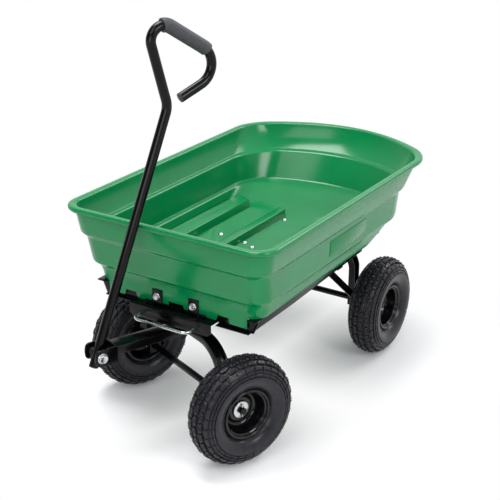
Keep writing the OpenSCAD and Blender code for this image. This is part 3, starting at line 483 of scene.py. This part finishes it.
# Floor ribs: place to each side, width and height
rib_y, rib_w, rib_h = 62, 24, 20
# Their gaps to the floor's rear and to the front wall, and how much they spread at the foot
rib_rear_gap, rib_front_gap, rib_spread = 5, 40, 1.15


def floor_rib(y):
    """Raised rib with a rounded rear end that dies into the floor."""
    x0, x1 = floor_rear_x + rib_rear_gap, bottom_front_x - wall - rib_front_gap
    half = rib_w / 2
    plan = [(x1, y - half), (x1, y + half)] + arc(x0 + half, y, half, 90, 270, 12)
    rings = [[(x, y + (py - y) * spread, z) for x, py in plan]
             for z, spread in ((tub_z + floor_t / 2, rib_spread), (tub_z + floor_t + rib_h, 1.0))]
    return round_edges(loft(rings), width=3, segments=3, angle=50)


# Front skirt: half width, drop, lap over the wall, set-back from it, and width of a foot
skirt_half, skirt_h, skirt_lap, skirt_back, foot_w = 190, 26, 9, 1, 45
# Notch beside each foot: width, top below the tub's bottom, and slope of its ends
notch_w, notch_top, notch_slope = 36, 12, 4
# Arch in the middle: half width, top below the tub's bottom, and slope of its ends
arch_half, arch_top, arch_slope = 22, 13, 2


def skirt_outline():
    """The front skirt seen from ahead, with its feet, notches and middle arch."""
    foot = skirt_half - foot_w
    bottom = tub_z - skirt_h
    half = [(skirt_half, tub_z + skirt_lap), (skirt_half, bottom), (foot, bottom),
            (foot - notch_slope, tub_z - notch_top),
            (foot - notch_w + notch_slope, tub_z - notch_top), (foot - notch_w, bottom),
            (arch_half, bottom), (arch_half - arch_slope, tub_z - arch_top)]
    return half + [(-y, z) for y, z in reversed(half)]


def front_skirt():
    """The skirt under the tub's front wall."""
    rings = [[(x, y, z) for y, z in skirt_outline()]
             for x in (bottom_front_x - wall, bottom_front_x - skirt_back)]
    return round_edges(loft(rings), width=1.2, angle=20)


# Side panels: length, height, lower edge over the ground, and rear end ahead of the rear axle
panel_len, panel_h, panel_z, panel_ahead = 181, 39, 393, 160
panel_x = rear_x + panel_ahead
# How far they are sunk in the wall and stand proud of it
panel_sunk, panel_proud = 2, 1.3


def side_panel(side):
    """Plain raised panel on the slope of a side wall's middle band."""
    low, high = tub_levels[5], tub_levels[6]
    flare = side_in * (low[2] - high[2]) / (tub_depth * (high[0] - low[0]))
    foot_y, foot_z = tub_w / 2 - side_in * low[2], tub_z + tub_depth * low[0]
    x1, z1 = panel_x + panel_len, panel_z + panel_h
    corners = [(panel_x, panel_z), (x1, panel_z), (x1, z1), (panel_x, z1)]
    rings = [[(x, side * (foot_y + (z - foot_z) * flare + out), z) for x, z in corners]
             for out in (-panel_sunk, panel_proud)]
    return round_edges(loft(rings), width=0.8)


# Side ledges: place of the inner edge, height, and how far they are sunk in the floor
ledge_y, ledge_h, ledge_sunk = 168, 22, 2
# Their reach behind the floor, gap to the front wall, and the outer edge's share of the inset
ledge_rear, ledge_front, ledge_share = 35, 30, 0.93
# The slanting cut of the rear end, at the outer and the inner edge, and the slopes of the two faces
ledge_cut_out, ledge_cut_in = 18, 40
ledge_slope_in, ledge_slope_out = 4, 2


def side_ledge(side):
    """Ledge along the floor's side, cut off where the rear wall rises."""
    x0, x1 = floor_rear_x - ledge_rear, bottom_front_x - wall - ledge_front
    outer = tub_w / 2 - side_in * ledge_share - wall

    def ring(outer_y, inner_y, z):
        plan = [(x0 + ledge_cut_out, outer_y), (x1, outer_y),
                (x1, inner_y), (x0 + ledge_cut_in, inner_y)]
        return [(x, side * y, z) for x, y in plan]

    rings = [ring(outer, ledge_y - ledge_slope_in, tub_z + floor_t - ledge_sunk),
             ring(outer + ledge_slope_out, ledge_y, tub_z + floor_t + ledge_h)]
    return round_edges(loft(rings), width=3, segments=3, angle=30)


def make_tub():
    """The tub with its skirt, ribs, panels and ledges as one moulding."""
    pieces = [tub_shell(), front_skirt(), floor_rib(rib_y), floor_rib(-rib_y)]
    pieces += [side_panel(1), side_panel(-1), side_ledge(1), side_ledge(-1)]
    return finish_piece(join(pieces), "tub_moulding", ["tub"], "tub_green", smooth=50)


# Bent bars

def bent_path(runs, step_angle):
    """Points and headings of a bent bar in its own plane.

    Runs are (straight length, bend radius, bend angle), points are (along, forward) pairs, and a
    bend is cut into steps of about step_angle degrees.
    """
    place, heading = Vector((0, 0)), 0.0
    path = [(place.copy(), heading)]
    for straight, radius, angle in runs:
        place = place + Vector((math.cos(heading), math.sin(heading))) * straight
        path.append((place.copy(), heading))
        steps = max(1, round(abs(angle) / step_angle)) if angle else 0
        for _ in range(steps):
            turn = math.radians(angle / steps)
            chord = 2 * radius * math.sin(abs(turn) / 2)
            middle = heading + turn / 2
            place = place + Vector((math.cos(middle), math.sin(middle))) * chord
            heading += turn
            path.append((place.copy(), heading))
    return path


def swept(path, origin, along, forward, section):
    """Rings of a section, as (in the plane, across it) points, carried along a plane path."""
    across = along.cross(forward)
    rings = []
    for place, heading in path:
        middle = origin + along * place.x + forward * place.y
        out = forward * math.cos(heading) - along * math.sin(heading)
        rings.append([middle + out * p + across * q for p, q in section])
    return rings


def round_section(r, steps):
    """Points of a round bar's section."""
    angles = [2 * math.pi * i / steps for i in range(steps)]
    return [(r * math.cos(a), r * math.sin(a)) for a in angles]


# Handle

# Backward lean in degrees, radii of the tube and the grip, and the tube's length below its pivot
lean = 19.9
tube_r, grip_r = 11, 15.5
shaft_tail = 28
# Straight lengths, bend radii and bend angles from the lower end; positive bends lean forward
handle_runs = [(583, 47, 35), (125, 31, -138), (96, 46, -124), (55, 0, 0)]
# The grip covers the third straight run and these angles of the bends before and after it
grip_on_top, grip_on_back = 40, 14
# Rounded end of the grip: distance from the end and radius
grip_end = [(0, tube_r + 0.3), (0, grip_r - 1.6), (0.6, grip_r - 0.5), (1.6, grip_r)]

lean_cos, lean_sin = math.cos(math.radians(lean)), math.sin(math.radians(lean))
shaft_along = steer_ahead * -lean_sin + up * lean_cos
shaft_forward = steer_ahead * lean_cos + up * lean_sin
shaft_foot = pivot - shaft_along * shaft_tail


def make_handle():
    """Bent tube with a foam sleeve on its top run."""
    path = bent_path(handle_runs, step_angle=2)
    shaft = (shaft_foot, shaft_along, shaft_forward)
    tube = loft(swept(path, *shaft, round_section(tube_r, 32)))
    finish_piece(tube, "handle_bent_tube", ["handle_tube"], "black_paint")

    grip_heading = math.radians(handle_runs[0][2] + handle_runs[1][2])
    low, high = grip_heading - math.radians(grip_on_back), grip_heading + math.radians(grip_on_top)
    slack = 0.001
    run = [(place, heading) for place, heading in path if low - slack <= heading <= high + slack]
    rings = []
    for index, (place, heading) in enumerate(run):
        levels = [(0, grip_r)]
        if index == 0:
            levels = grip_end
        elif index == len(run) - 1:
            levels = [(-along, r) for along, r in reversed(grip_end)]
        for along, r in levels:
            moved = place + Vector((math.cos(heading), math.sin(heading))) * along
            rings += swept([(moved, heading)], *shaft, round_section(r, 36))
    finish_piece(loft(rings), "handle_grip_sleeve", ["grip"], "grip_rubber",
                 smooth=40)


# Clevis, bolt heads and bail

# Clevis: thickness of its strip, gap between its ears, reach behind the pivot, and half height
ear_t, ear_gap, clevis_back, clevis_half = 4, 45, 38, 20
# Nose of an ear: where it begins and ends ahead of the pivot, how blunt it is, and its share of
# the height
nose_from, nose_to, nose_power, nose_share = 8, 18, 0.6, 0.93
ear_outer = ear_gap / 2 + ear_t


def make_clevis():
    """Bent U bracket of strip steel: parallel ears with a broad rounded nose, and a back plate."""
    def ring(points):
        return [pivot + steer_ahead * x + steer_left * y + up * z for x, y, z in points]

    ear = [(-clevis_back, -clevis_half), (nose_from, -clevis_half)]
    ear += [(nose_from + (nose_to - nose_from) * math.cos(math.radians(a)) ** nose_power,
             clevis_half * nose_share * math.sin(math.radians(a))) for a in range(-75, 76, 15)]
    ear += [(nose_from, clevis_half), (-clevis_back, clevis_half)]
    pieces = []
    for y0 in (ear_outer - ear_t, -ear_outer):
        rings = [ring([(x, y, z) for x, z in ear]) for y in (y0, y0 + ear_t)]
        pieces.append(round_edges(loft(rings), width=0.7))
    back = [(-ear_outer, -clevis_half), (ear_outer, -clevis_half),
            (ear_outer, clevis_half), (-ear_outer, clevis_half)]
    rings = [ring([(x, y, z) for y, z in back]) for x in (-clevis_back, ear_t - clevis_back)]
    pieces.append(round_edges(loft(rings), width=1.6, segments=3))
    finish_piece(join(pieces), "clevis_bracket", ["clevis"], "black_paint")


# Bolt heads: flange radius, width across flats and height; each covers a plain CAD head
striker_head, clevis_head = (9.2, 13.4, 6.5), (12.5, 18.4, 7.5)
head_steps = 36
# Striker bolts: place to each side, and height of the CAD head
striker_bolt_y, striker_cad_head_h = 50, 5.5


def flange_head(name, body, seat, axis, flange_r, across_flats, height):
    """Head of a flange bolt on a seat, along an axis: a coned flange and a chamfered hexagon."""
    side = axis.orthogonal().normalized()
    other = axis.cross(side)
    corner_r, cone_r = across_flats * 0.578, across_flats * 0.6
    chamfer_r, hollow_r = across_flats * 0.47, across_flats * 0.33
    # Height over the seat, radius, and whether the hexagon's flats cut the ring
    levels = [(0, flange_r, False), (1.0, flange_r, False), (1.5, flange_r - 0.5, False),
              (2.4, cone_r, False), (2.5, corner_r, True), (height - 1.2, corner_r, True),
              (height, chamfer_r, True), (height - 0.7, hollow_r, True)]
    rings = []
    for along, radius, hexed in levels:
        ring = []
        for i in range(head_steps):
            a = 2 * math.pi * i / head_steps
            flat = across_flats / 2 / math.cos((a + math.pi / 6) % (math.pi / 3) - math.pi / 6)
            r = min(radius, flat) if hexed else radius
            ring.append(seat + axis * along + side * (r * math.cos(a)) + other * (r * math.sin(a)))
        rings.append(ring)
    return finish_piece(loft(rings), name, [], "zinc", body=body, smooth=25)


def make_bolt_heads():
    """Heads of the two striker bolts and of the clevis bolt."""
    low, high = (Vector(c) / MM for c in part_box("striker_bolts"))
    for side, name in ((1, "striker_bolt_head_left"), (-1, "striker_bolt_head_right")):
        seat = Vector((high.x - striker_cad_head_h, side * striker_bolt_y, (low.z + high.z) / 2))
        flange_head(name, body_of_node["striker_bolts"], seat, ahead, *striker_head)
    seat = pivot + steer_left * ear_outer
    flange_head("clevis_bolt_head", body_of_node["clevis_bolt"], seat, steer_left, *clevis_head)


# Bail: radii of its wire and of its bends
bail_wire_r, bail_bend_r = 3.5, 16


def make_bail():
    """Drawn wire bail: two legs and a front bar with easy bends."""
    low, high = (Vector(c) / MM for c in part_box("release_bail"))
    leg = high.x - low.x - bail_wire_r - bail_bend_r
    width = high.y - low.y - 2 * bail_wire_r - 2 * bail_bend_r
    leg_end = Vector((low.x, low.y + bail_wire_r, (low.z + high.z) / 2))
    runs = [(leg, bail_bend_r, 90), (width, bail_bend_r, 90), (leg, 0, 0)]
    path = bent_path(runs, step_angle=6)
    rings = swept(path, leg_end, ahead, left, round_section(bail_wire_r, 20))
    finish_piece(loft(rings), "latch_bail_wire", ["release_bail"], "zinc")


# Wheels

# Tyre's radius over the tread, and half width
tyre_r, tyre_half = 130, 42
# Rim's radii at the flange and the seat, half width and thickness
rim_flange_r, rim_seat_r, rim_half, rim_t = 61, 54, 31, 3
# How deep the hub's outer end lies inside the rim's outer flange
hub_deep = 30

# Tyre section: its middle, half height, and how square it is, 2 being an ellipse
section_mid, section_half = (tyre_r + rim_seat_r) / 2, (tyre_r - rim_seat_r) / 2
section_power = 2.08
section_steps = 900
# Sidewall: angles on the section and how far it stands proud there, with a raised ring near the rim
sidewall_rings = [(87.5, -0.2), (90, 0), (94, 0), (98, 0), (106, 0), (114, 0), (121, 0), (127, 0),
                  (129, 0.9), (132, 0.9), (134, 0), (140, 0), (145, 0)]
# Bead and hollow inside: radius and place across
tyre_inside = [(rim_seat_r + 3.0, 27.5), (rim_seat_r + 0.4, 24), (rim_seat_r + 0.4, 18),
               (rim_seat_r + 12, 26), (section_mid, 31), (tyre_r - 16, 18)]

# Tread: pitches round the tyre and steps in each
tread_pitches, pitch_steps = 30, 4
# Rows from the middle out: where each begins and ends along the tyre's outside, how far its two
# edges zigzag, its groove depth, and whether it is staggered by half a pitch
block_rows = [
    (0.4, 15.6, 2.0, 2.0, 5.4, 0),
    (16.4, 31.6, 2.0, 1.2, 5.4, 1),
    (32.4, 45.0, 1.2, 0, 5.0, 0),
    (45.7, 52.6, 0, 0, 3.9, 0),
    (53.2, 60.2, 0, 0, 3.4, 0),
]
# A row whose grooves are deeper than this has blocks, and the others have small teeth
block_depth = 4
# Half gaps round blocks and teeth, and the widths of their sloping edges and of the blocks' crowns
block_gap, tooth_gap = 1.7, 1.0
block_edge, tooth_edge, crown_edge = 0.9, 0.5, 1.3
# Shares of the groove depth by which sides, edges and crowns rise
side_rise, edge_rise, crown_rise = 0.64, 0.18, 0.06
# Slots in the blocks of the two middle rows: margin, width of the sloping wall and depth
slot_margin, slot_wall, slot_depth = 1.6, 0.3, 1.6
slotted_rows = 2
# Marks on the tread's faces: a row's number times row_mark, and slot_mark in the middle of a block
row_mark, slot_mark = 10, 100


def revolve(profile_at, steps):
    """A ring about +Z, with a closed profile of (radius, along the axle) points for each step."""
    deselect_all()
    count = len(profile_at(0))
    bpy.ops.mesh.primitive_torus_add(major_segments=steps, minor_segments=count)
    obj = bpy.context.object
    for step in range(steps):
        angle = 2 * math.pi * step / steps
        for i, (r, along) in enumerate(profile_at(step)):
            point = Vector((r * math.cos(angle), r * math.sin(angle), along))
            obj.data.vertices[step * count + i].co = point * MM
    bpy.ops.object.mode_set(mode="EDIT")
    bpy.ops.mesh.select_all(action="SELECT")
    bpy.ops.mesh.normals_make_consistent(inside=False)
    bpy.ops.object.mode_set(mode="OBJECT")
    return obj


def section_point(angle):
    """Radius and place across of the tyre's outside, by an angle from the tread's middle."""
    c, s = math.cos(math.radians(angle)), math.sin(math.radians(angle))
    return Vector((section_mid + section_half * math.copysign(abs(c) ** (2 / section_power), c),
                   tyre_half * s ** (2 / section_power)))


def section_table():
    """Lengths along the tyre's outside, from the tread's middle to the widest place, and points."""
    points = [section_point(90 * i / section_steps) for i in range(section_steps + 1)]
    lengths = [0]
    for a, b in zip(points, points[1:]):
        lengths.append(lengths[-1] + (b - a).length)
    return lengths, points


section_lengths, section_points = section_table()


def tread_place(length, depth):
    """Point at a length along the tyre's outside from the middle of the tread, sunk by a depth."""
    i = min(max(bisect.bisect(section_lengths, abs(length)), 1), len(section_lengths) - 1)
    share = (abs(length) - section_lengths[i - 1]) / (section_lengths[i] - section_lengths[i - 1])
    place = section_points[i - 1].lerp(section_points[i], share)
    along = (section_points[i] - section_points[i - 1]).normalized()
    place = place - Vector((along.y, -along.x)) * depth
    return (place.x, math.copysign(1, length) * place.y)


def half_profile(step, mirrored):
    """Half profile from the tread's middle out: base of the rows, sidewall, bead and inside."""
    half = []
    for begin, end, zigzag_in, zigzag_out, depth, stagger in block_rows:
        quarter = (step + pitch_steps // 2 * (stagger ^ mirrored)) % pitch_steps
        bulge = 1 - 2 * abs(2 * quarter / pitch_steps - 1)
        half.append(tread_place(begin - bulge * zigzag_in, depth))
        half.append(tread_place(end + bulge * zigzag_out, depth))
    for angle, proud in sidewall_rings:
        place = section_point(angle)
        half.append((place.x, place.y + proud))
    return half + tyre_inside


def tyre_profile(step):
    """Whole profile of the tyre at a step round it."""
    return [(r, -across) for r, across in reversed(half_profile(step, 1))] + half_profile(step, 0)


def mark_blocks(obj, half_count):
    """Marks the rows' faces by row and by turn, so that neighbours are raised separately."""
    mesh = bmesh.from_edit_mesh(obj.data)
    layer = mesh.faces.layers.int.new("block")
    count, steps = 2 * half_count, tread_pitches * pitch_steps
    for face in mesh.faces:
        around = {v.index // count for v in face.verts}
        across = {v.index % count for v in face.verts}
        if max(across) - min(across) > 1:
            continue
        mirrored = max(across) < half_count
        segment = half_count - 1 - max(across) if mirrored else min(across) - half_count
        row = segment // 2
        if segment < 0 or segment % 2 or row >= len(block_rows):
            continue
        step = max(around) if max(around) - min(around) > 1 else min(around)
        stagger = block_rows[row][5]
        place = (step + pitch_steps // 2 * (stagger ^ mirrored)) % steps
        mark = 1 + row_mark * row + place // pitch_steps % 2
        face[layer] = mark + slot_mark if place % pitch_steps in (1, 2) else mark
    bmesh.update_edit_mesh(obj.data)


def select_blocks(obj, wanted):
    """Selects the faces whose mark is wanted."""
    bpy.ops.mesh.select_all(action="DESELECT")
    mesh = bmesh.from_edit_mesh(obj.data)
    layer = mesh.faces.layers.int["block"]
    for face in mesh.faces:
        face.select_set(wanted(face[layer]))
    bmesh.update_edit_mesh(obj.data)


def tyre_mould():
    """One tyre with its blocks raised from the tread base, rounded and slotted, about +Z."""
    obj = revolve(tyre_profile, tread_pitches * pitch_steps)
    bpy.ops.object.mode_set(mode="EDIT")
    bpy.ops.mesh.select_mode(type="FACE")
    mark_blocks(obj, len(half_profile(0, 0)))
    for row, (_, _, _, _, depth, _) in enumerate(block_rows):
        is_block = depth > block_depth
        gap, edge = (block_gap, block_edge) if is_block else (tooth_gap, tooth_edge)
        for turn in (1, 2):
            select_blocks(obj, lambda mark: mark % slot_mark == row_mark * row + turn)
            bpy.ops.mesh.inset(thickness=gap * MM, depth=0)
            bpy.ops.mesh.extrude_region_shrink_fatten(
                TRANSFORM_OT_shrink_fatten={"value": depth * side_rise * MM})
            bpy.ops.mesh.inset(thickness=edge * MM, depth=depth * edge_rise * MM)
            if is_block:
                bpy.ops.mesh.inset(thickness=crown_edge * MM, depth=depth * crown_rise * MM)
    select_blocks(obj, lambda mark: mark > slot_mark and mark % slot_mark < row_mark * slotted_rows)
    bpy.ops.mesh.inset(thickness=slot_margin * MM, depth=0, use_individual=True)
    bpy.ops.mesh.inset(thickness=slot_wall * MM, depth=-slot_depth * MM, use_individual=True)
    bpy.ops.object.mode_set(mode="OBJECT")
    obj.data.attributes.remove(obj.data.attributes["block"])
    return obj


# Rim round the hub, as radius and height over the hub's outer end: from its bore to a flat ring
rim_bore_r = 19.3
hub_flat = [(rim_bore_r, -1.6), (21.0, -1.2), (24.4, -1.2)]
# Rounded edge of that ring: radius and height of its middle, and its own radius
ring_edge_r, ring_edge_z, ring_edge_round = 28.0, -3.4, 2.2
# Broad floor of the dish and its wall, as radius and height over the hub's outer end
dish = [(30.6, -6.0), (31.6, -7.6), (33.5, -8.6), (36.0, -9.0), (38.5, -8.6), (41.0, -7.2),
        (43.2, -4.8), (45.0, -1.2), (46.3, 4.0), (47.2, 10.0), (47.9, 16.0), (48.4, 20.5),
        (48.8, 22.5)]
# Step up to the flange, as radius and height over the flange
flange_step = [(50.0, -6.2), (51.6, -5.6), (52.4, -4.6), (52.8, -2.6)]
# Rolled lip of the flange: its radius, and how far its middle lies inside the flange's edge
flange_lip_r, flange_lip_in = 3.6, 4.2
# Foot of the flange at the tyre's seat, as radius over the seat and height over the flange
bead_seat = [(1.2, -6.2), (0, -8)]
# Well inside the rim: its back edge, as radius over the well and height over the back flange,
# and its end under the outer flange
well_edge, well_end = [(0.6, 1.6), (0, 5)], 12
# Back of the dish: how far it lies outside and under the dish, and its least gap to the well
back_out, back_under, back_gap = 1.8, 2.8, 0.4
# Its flat middle: radius, and depth under the hub's outer end
back_flat_r, back_flat_deep = 33.0, 12.4


def rim_press():
    """Pressed rim about +Z, outside up: rolled flanges, a deep dish, a raised ring at the hub."""
    def mirrored(points):
        return [(r, -z) for r, z in reversed(points)]

    well_r = rim_seat_r - rim_t
    hub_top = rim_half - hub_deep
    dish_wall = [(r, hub_top + z) for r, z in dish]
    front = [(r, hub_top + z) for r, z in hub_flat]
    front += arc(ring_edge_r, hub_top + ring_edge_z, ring_edge_round, 90, 0, 4) + dish_wall
    front += [(r, rim_half + z) for r, z in flange_step]
    lip = arc(rim_flange_r - flange_lip_in, rim_half - flange_lip_r, flange_lip_r, 165, -60, 14)
    seat = [(rim_seat_r + r, rim_half + z) for r, z in bead_seat]
    back = [(well_r + r, z - rim_half) for r, z in well_edge] + [(well_r, rim_half - well_end)]
    back += [(min(r + back_out, well_r - back_gap), z - back_under)
             for r, z in reversed(dish_wall[3:-2])]
    back += [(back_flat_r, hub_top - back_flat_deep), (rim_bore_r, hub_top - back_flat_deep)]
    profile = front + lip + seat + mirrored(seat) + mirrored(lip) + back
    return revolve(lambda step: profile, 72)


# The wheels' short names in the nodes, and how far each tyre has rolled, in degrees
wheel_names = {"front_left": "fl", "front_right": "fr", "rear_left": "rl", "rear_right": "rr"}
wheel_turn = {"front_left": 11, "front_right": 40, "rear_left": 23, "rear_right": 67}


def wheel_place(wheel):
    """Turns +Z outboard along the axle and moves to the wheel's middle."""
    joint = joints[wheel + "_spin"]
    outboard = Vector(joint["axis"]) * (1 if wheel.endswith("left") else -1)
    turn = outboard.to_track_quat("Z", "Y") @ Quaternion((0, 0, 1), math.radians(wheel_turn[wheel]))
    return Matrix.Translation(Vector(joint["pos_m"])) @ turn.to_matrix().to_4x4()


def make_wheels():
    """Tyres and rims of the four wheels, each modelled once and copied."""
    tyre, rim = tyre_mould(), rim_press()
    kinds = ((tyre, "tyre_", "_moulded", "tyre_rubber", "tyre_rubber"),
             (rim, "rim_", "_pressed", "rim_enamel", "black_paint"))
    for wheel, short in wheel_names.items():
        for source, stem, made, finish, slot in kinds:
            node = stem + short
            obj = copy_at(source, node + made, wheel_place(wheel))
            finish_piece(obj, node + made, [node], finish)
    for source in (tyre, rim):
        bpy.data.objects.remove(source)


make_tub()
make_handle()
make_clevis()
make_bolt_heads()
make_bail()
make_wheels()

# Every node that has no piece of its own above keeps its shape, with rounded edges
remade = {"tub", "handle_tube", "grip", "release_bail", "clevis"}
for node in frame["nodes"]:
    if node not in remade and not node.startswith(("tyre_", "rim_")):
        softened(node)


# Camera, light and floor

# Camera: lens and sensor width, and turns in degrees
camera_lens, camera_sensor = 84.12, 36
camera_yaw, camera_pitch, camera_roll = -148.13, -22.662, 0.533
# Its place ahead of the kingpin, to the left of the middle and over the ground
camera_ahead, camera_left, camera_up = 1990.5, 1407.6, 1453.6

# Soft boxes: place, target and size in metres, and power in watts
soft_boxes = {
    "key": ((0.1, -0.6, 3.2), (0, 0, 0.35), (1.5, 1.5), 86),
    "left": ((0.9, 2.5, 1.8), (-0.3, -0.1, 0.45), (1.0, 1.1), 28),
    "front": ((2.1, 0.2, 2.6), (0, 0, 0.4), (1.8, 1.4), 22),
    "front_low": ((2.8, 0.7, 1.05), (-0.4, -0.1, 0.47), (1.8, 0.9), 18),
    "back": ((-2.4, 1.2, 2.4), (0, 0, 0.4), (1.8, 1.0), 34),
}

# Floor: its size in metres, and the strength of its glow
floor_size, floor_glow = 40, 0.05
# How far from a wheel's middle, in metres, the shadows begin to fade and are gone
shadow_full, shadow_gone = 0.07, 0.4
white = srgb("#ffffff")


def make_camera():
    """Camera at the photo's viewing angle."""
    data = bpy.data.cameras.new("camera")
    data.lens = camera_lens
    data.sensor_width = camera_sensor
    data.sensor_fit = "HORIZONTAL"
    data.clip_end = 50
    camera = bpy.data.objects.new("camera", data)
    bpy.context.scene.collection.objects.link(camera)
    yaw, pitch, roll = (math.radians(a) for a in (camera_yaw, camera_pitch, camera_roll))
    level = math.cos(pitch)
    sight = Vector((math.cos(yaw) * level, math.sin(yaw) * level, math.sin(pitch)))
    camera.location = Vector((kingpin_x + camera_ahead, camera_left, camera_up)) * MM
    camera.rotation_mode = "QUATERNION"
    camera.rotation_quaternion = sight.to_track_quat("-Z", "Y") @ Quaternion((0, 0, 1), roll)
    bpy.context.scene.camera = camera


def soft_box(name, place, target, size, power):
    """Rectangular area lamp that faces a target."""
    data = bpy.data.lights.new(name, "AREA")
    data.shape = "RECTANGLE"
    data.size, data.size_y = size
    data.energy = power
    lamp = bpy.data.objects.new(name, data)
    bpy.context.scene.collection.objects.link(lamp)
    lamp.location = place
    lamp.rotation_mode = "QUATERNION"
    lamp.rotation_quaternion = (Vector(target) - Vector(place)).to_track_quat("-Z", "Y")


def shows_white(tree):
    """1 for rays from the camera, from gloss and from glass, which see the studio as white."""
    path = add(tree, "ShaderNodeLightPath")
    first = add(tree, "ShaderNodeMath", {"operation": "MAXIMUM"},
                {0: (path, "Is Camera Ray"), 1: (path, "Is Glossy Ray")})
    return add(tree, "ShaderNodeMath", {"operation": "MAXIMUM"},
               {0: (first, "Value"), 1: (path, "Is Transmission Ray")})


def white_studio_floor():
    """Matte white floor, lit a little from below as in a light tent.

    It keeps soft shadows round each wheel and is plain white away from them.
    """
    material, tree, shader, on_piece = new_material("matte_white_floor")
    dress(tree, shader,
          {"Base Color": srgb("#f3f3f4"), "Roughness": 0.7, "Specular IOR Level": 0.2})
    nearest = None
    for wheel in wheel_names:
        x, y, _ = joints[wheel + "_spin"]["pos_m"]
        away = add(tree, "ShaderNodeVectorMath", {"operation": "DISTANCE", 1: (x, y, 0)},
                   {0: on_piece["Vector"]})
        if nearest:
            nearest = add(tree, "ShaderNodeMath", {"operation": "MINIMUM"},
                          {0: (nearest, "Value"), 1: (away, "Value")})
        else:
            nearest = away
    fade = add(tree, "ShaderNodeMapRange",
               {"From Min": shadow_full, "From Max": shadow_gone,
                "interpolation_type": "SMOOTHSTEP"}, {"Value": (nearest, "Value")})
    seen = shows_white(tree)
    share = add(tree, "ShaderNodeMath", {"operation": "MULTIPLY"},
                {0: (fade, "Result"), 1: (seen, "Value")})
    glow_share = add(tree, "ShaderNodeMath", {"operation": "MULTIPLY", 1: floor_glow},
                     {0: (seen, "Value")})
    glow = add(tree, "ShaderNodeEmission", {"Color": white}, {"Strength": (glow_share, "Value")})
    lit = add(tree, "ShaderNodeAddShader", links={0: (shader, "BSDF"), 1: (glow, "Emission")})
    plain = add(tree, "ShaderNodeEmission", {"Color": white, "Strength": 1.0})
    mix = add(tree, "ShaderNodeMixShader",
              links={"Fac": (share, "Value"), 1: (lit, "Shader"), 2: (plain, "Emission")})
    dress(tree, tree.nodes["Material Output"], links={"Surface": (mix, "Shader")})
    return material


def make_studio():
    """White studio: its surrounding light, its floor and its soft boxes."""
    world = bpy.data.worlds.new("studio")
    bpy.context.scene.world = world
    world.use_nodes = True
    tree = world.node_tree
    tree.nodes.clear()
    light = add(tree, "ShaderNodeBackground", {"Color": srgb("#f9fcff"), "Strength": 0.5})
    # Gloss sees the white backdrop behind the cart and a darker room in front of it
    place = add(tree, "ShaderNodeTexCoord")
    parts = add(tree, "ShaderNodeSeparateXYZ", links={"Vector": (place, "Generated")})
    room = add(tree, "ShaderNodeMapRange",
               {"From Min": -0.2, "From Max": 0.6, "To Min": 1.0, "To Max": 0.1},
               {"Value": (parts, "X")})
    reflected = add(tree, "ShaderNodeBackground", {"Color": white}, {"Strength": (room, "Result")})
    backdrop = add(tree, "ShaderNodeBackground", {"Color": white, "Strength": 1.0})
    path = add(tree, "ShaderNodeLightPath")
    seen = shows_white(tree)
    unseen = add(tree, "ShaderNodeMixShader", links={
        "Fac": (seen, "Value"), 1: (light, "Background"), 2: (reflected, "Background")})
    mix = add(tree, "ShaderNodeMixShader", links={
        "Fac": (path, "Is Camera Ray"), 1: (unseen, "Shader"), 2: (backdrop, "Background")})
    add(tree, "ShaderNodeOutputWorld", links={"Surface": (mix, "Shader")})

    deselect_all()
    bpy.ops.mesh.primitive_plane_add(size=floor_size)
    floor = bpy.context.object
    floor.name = "studio_floor"
    floor.data.materials.append(white_studio_floor())

    for name, settings in soft_boxes.items():
        soft_box(name, *settings)
    bpy.context.scene.view_settings.view_transform = "Standard"


make_camera()
make_studio()
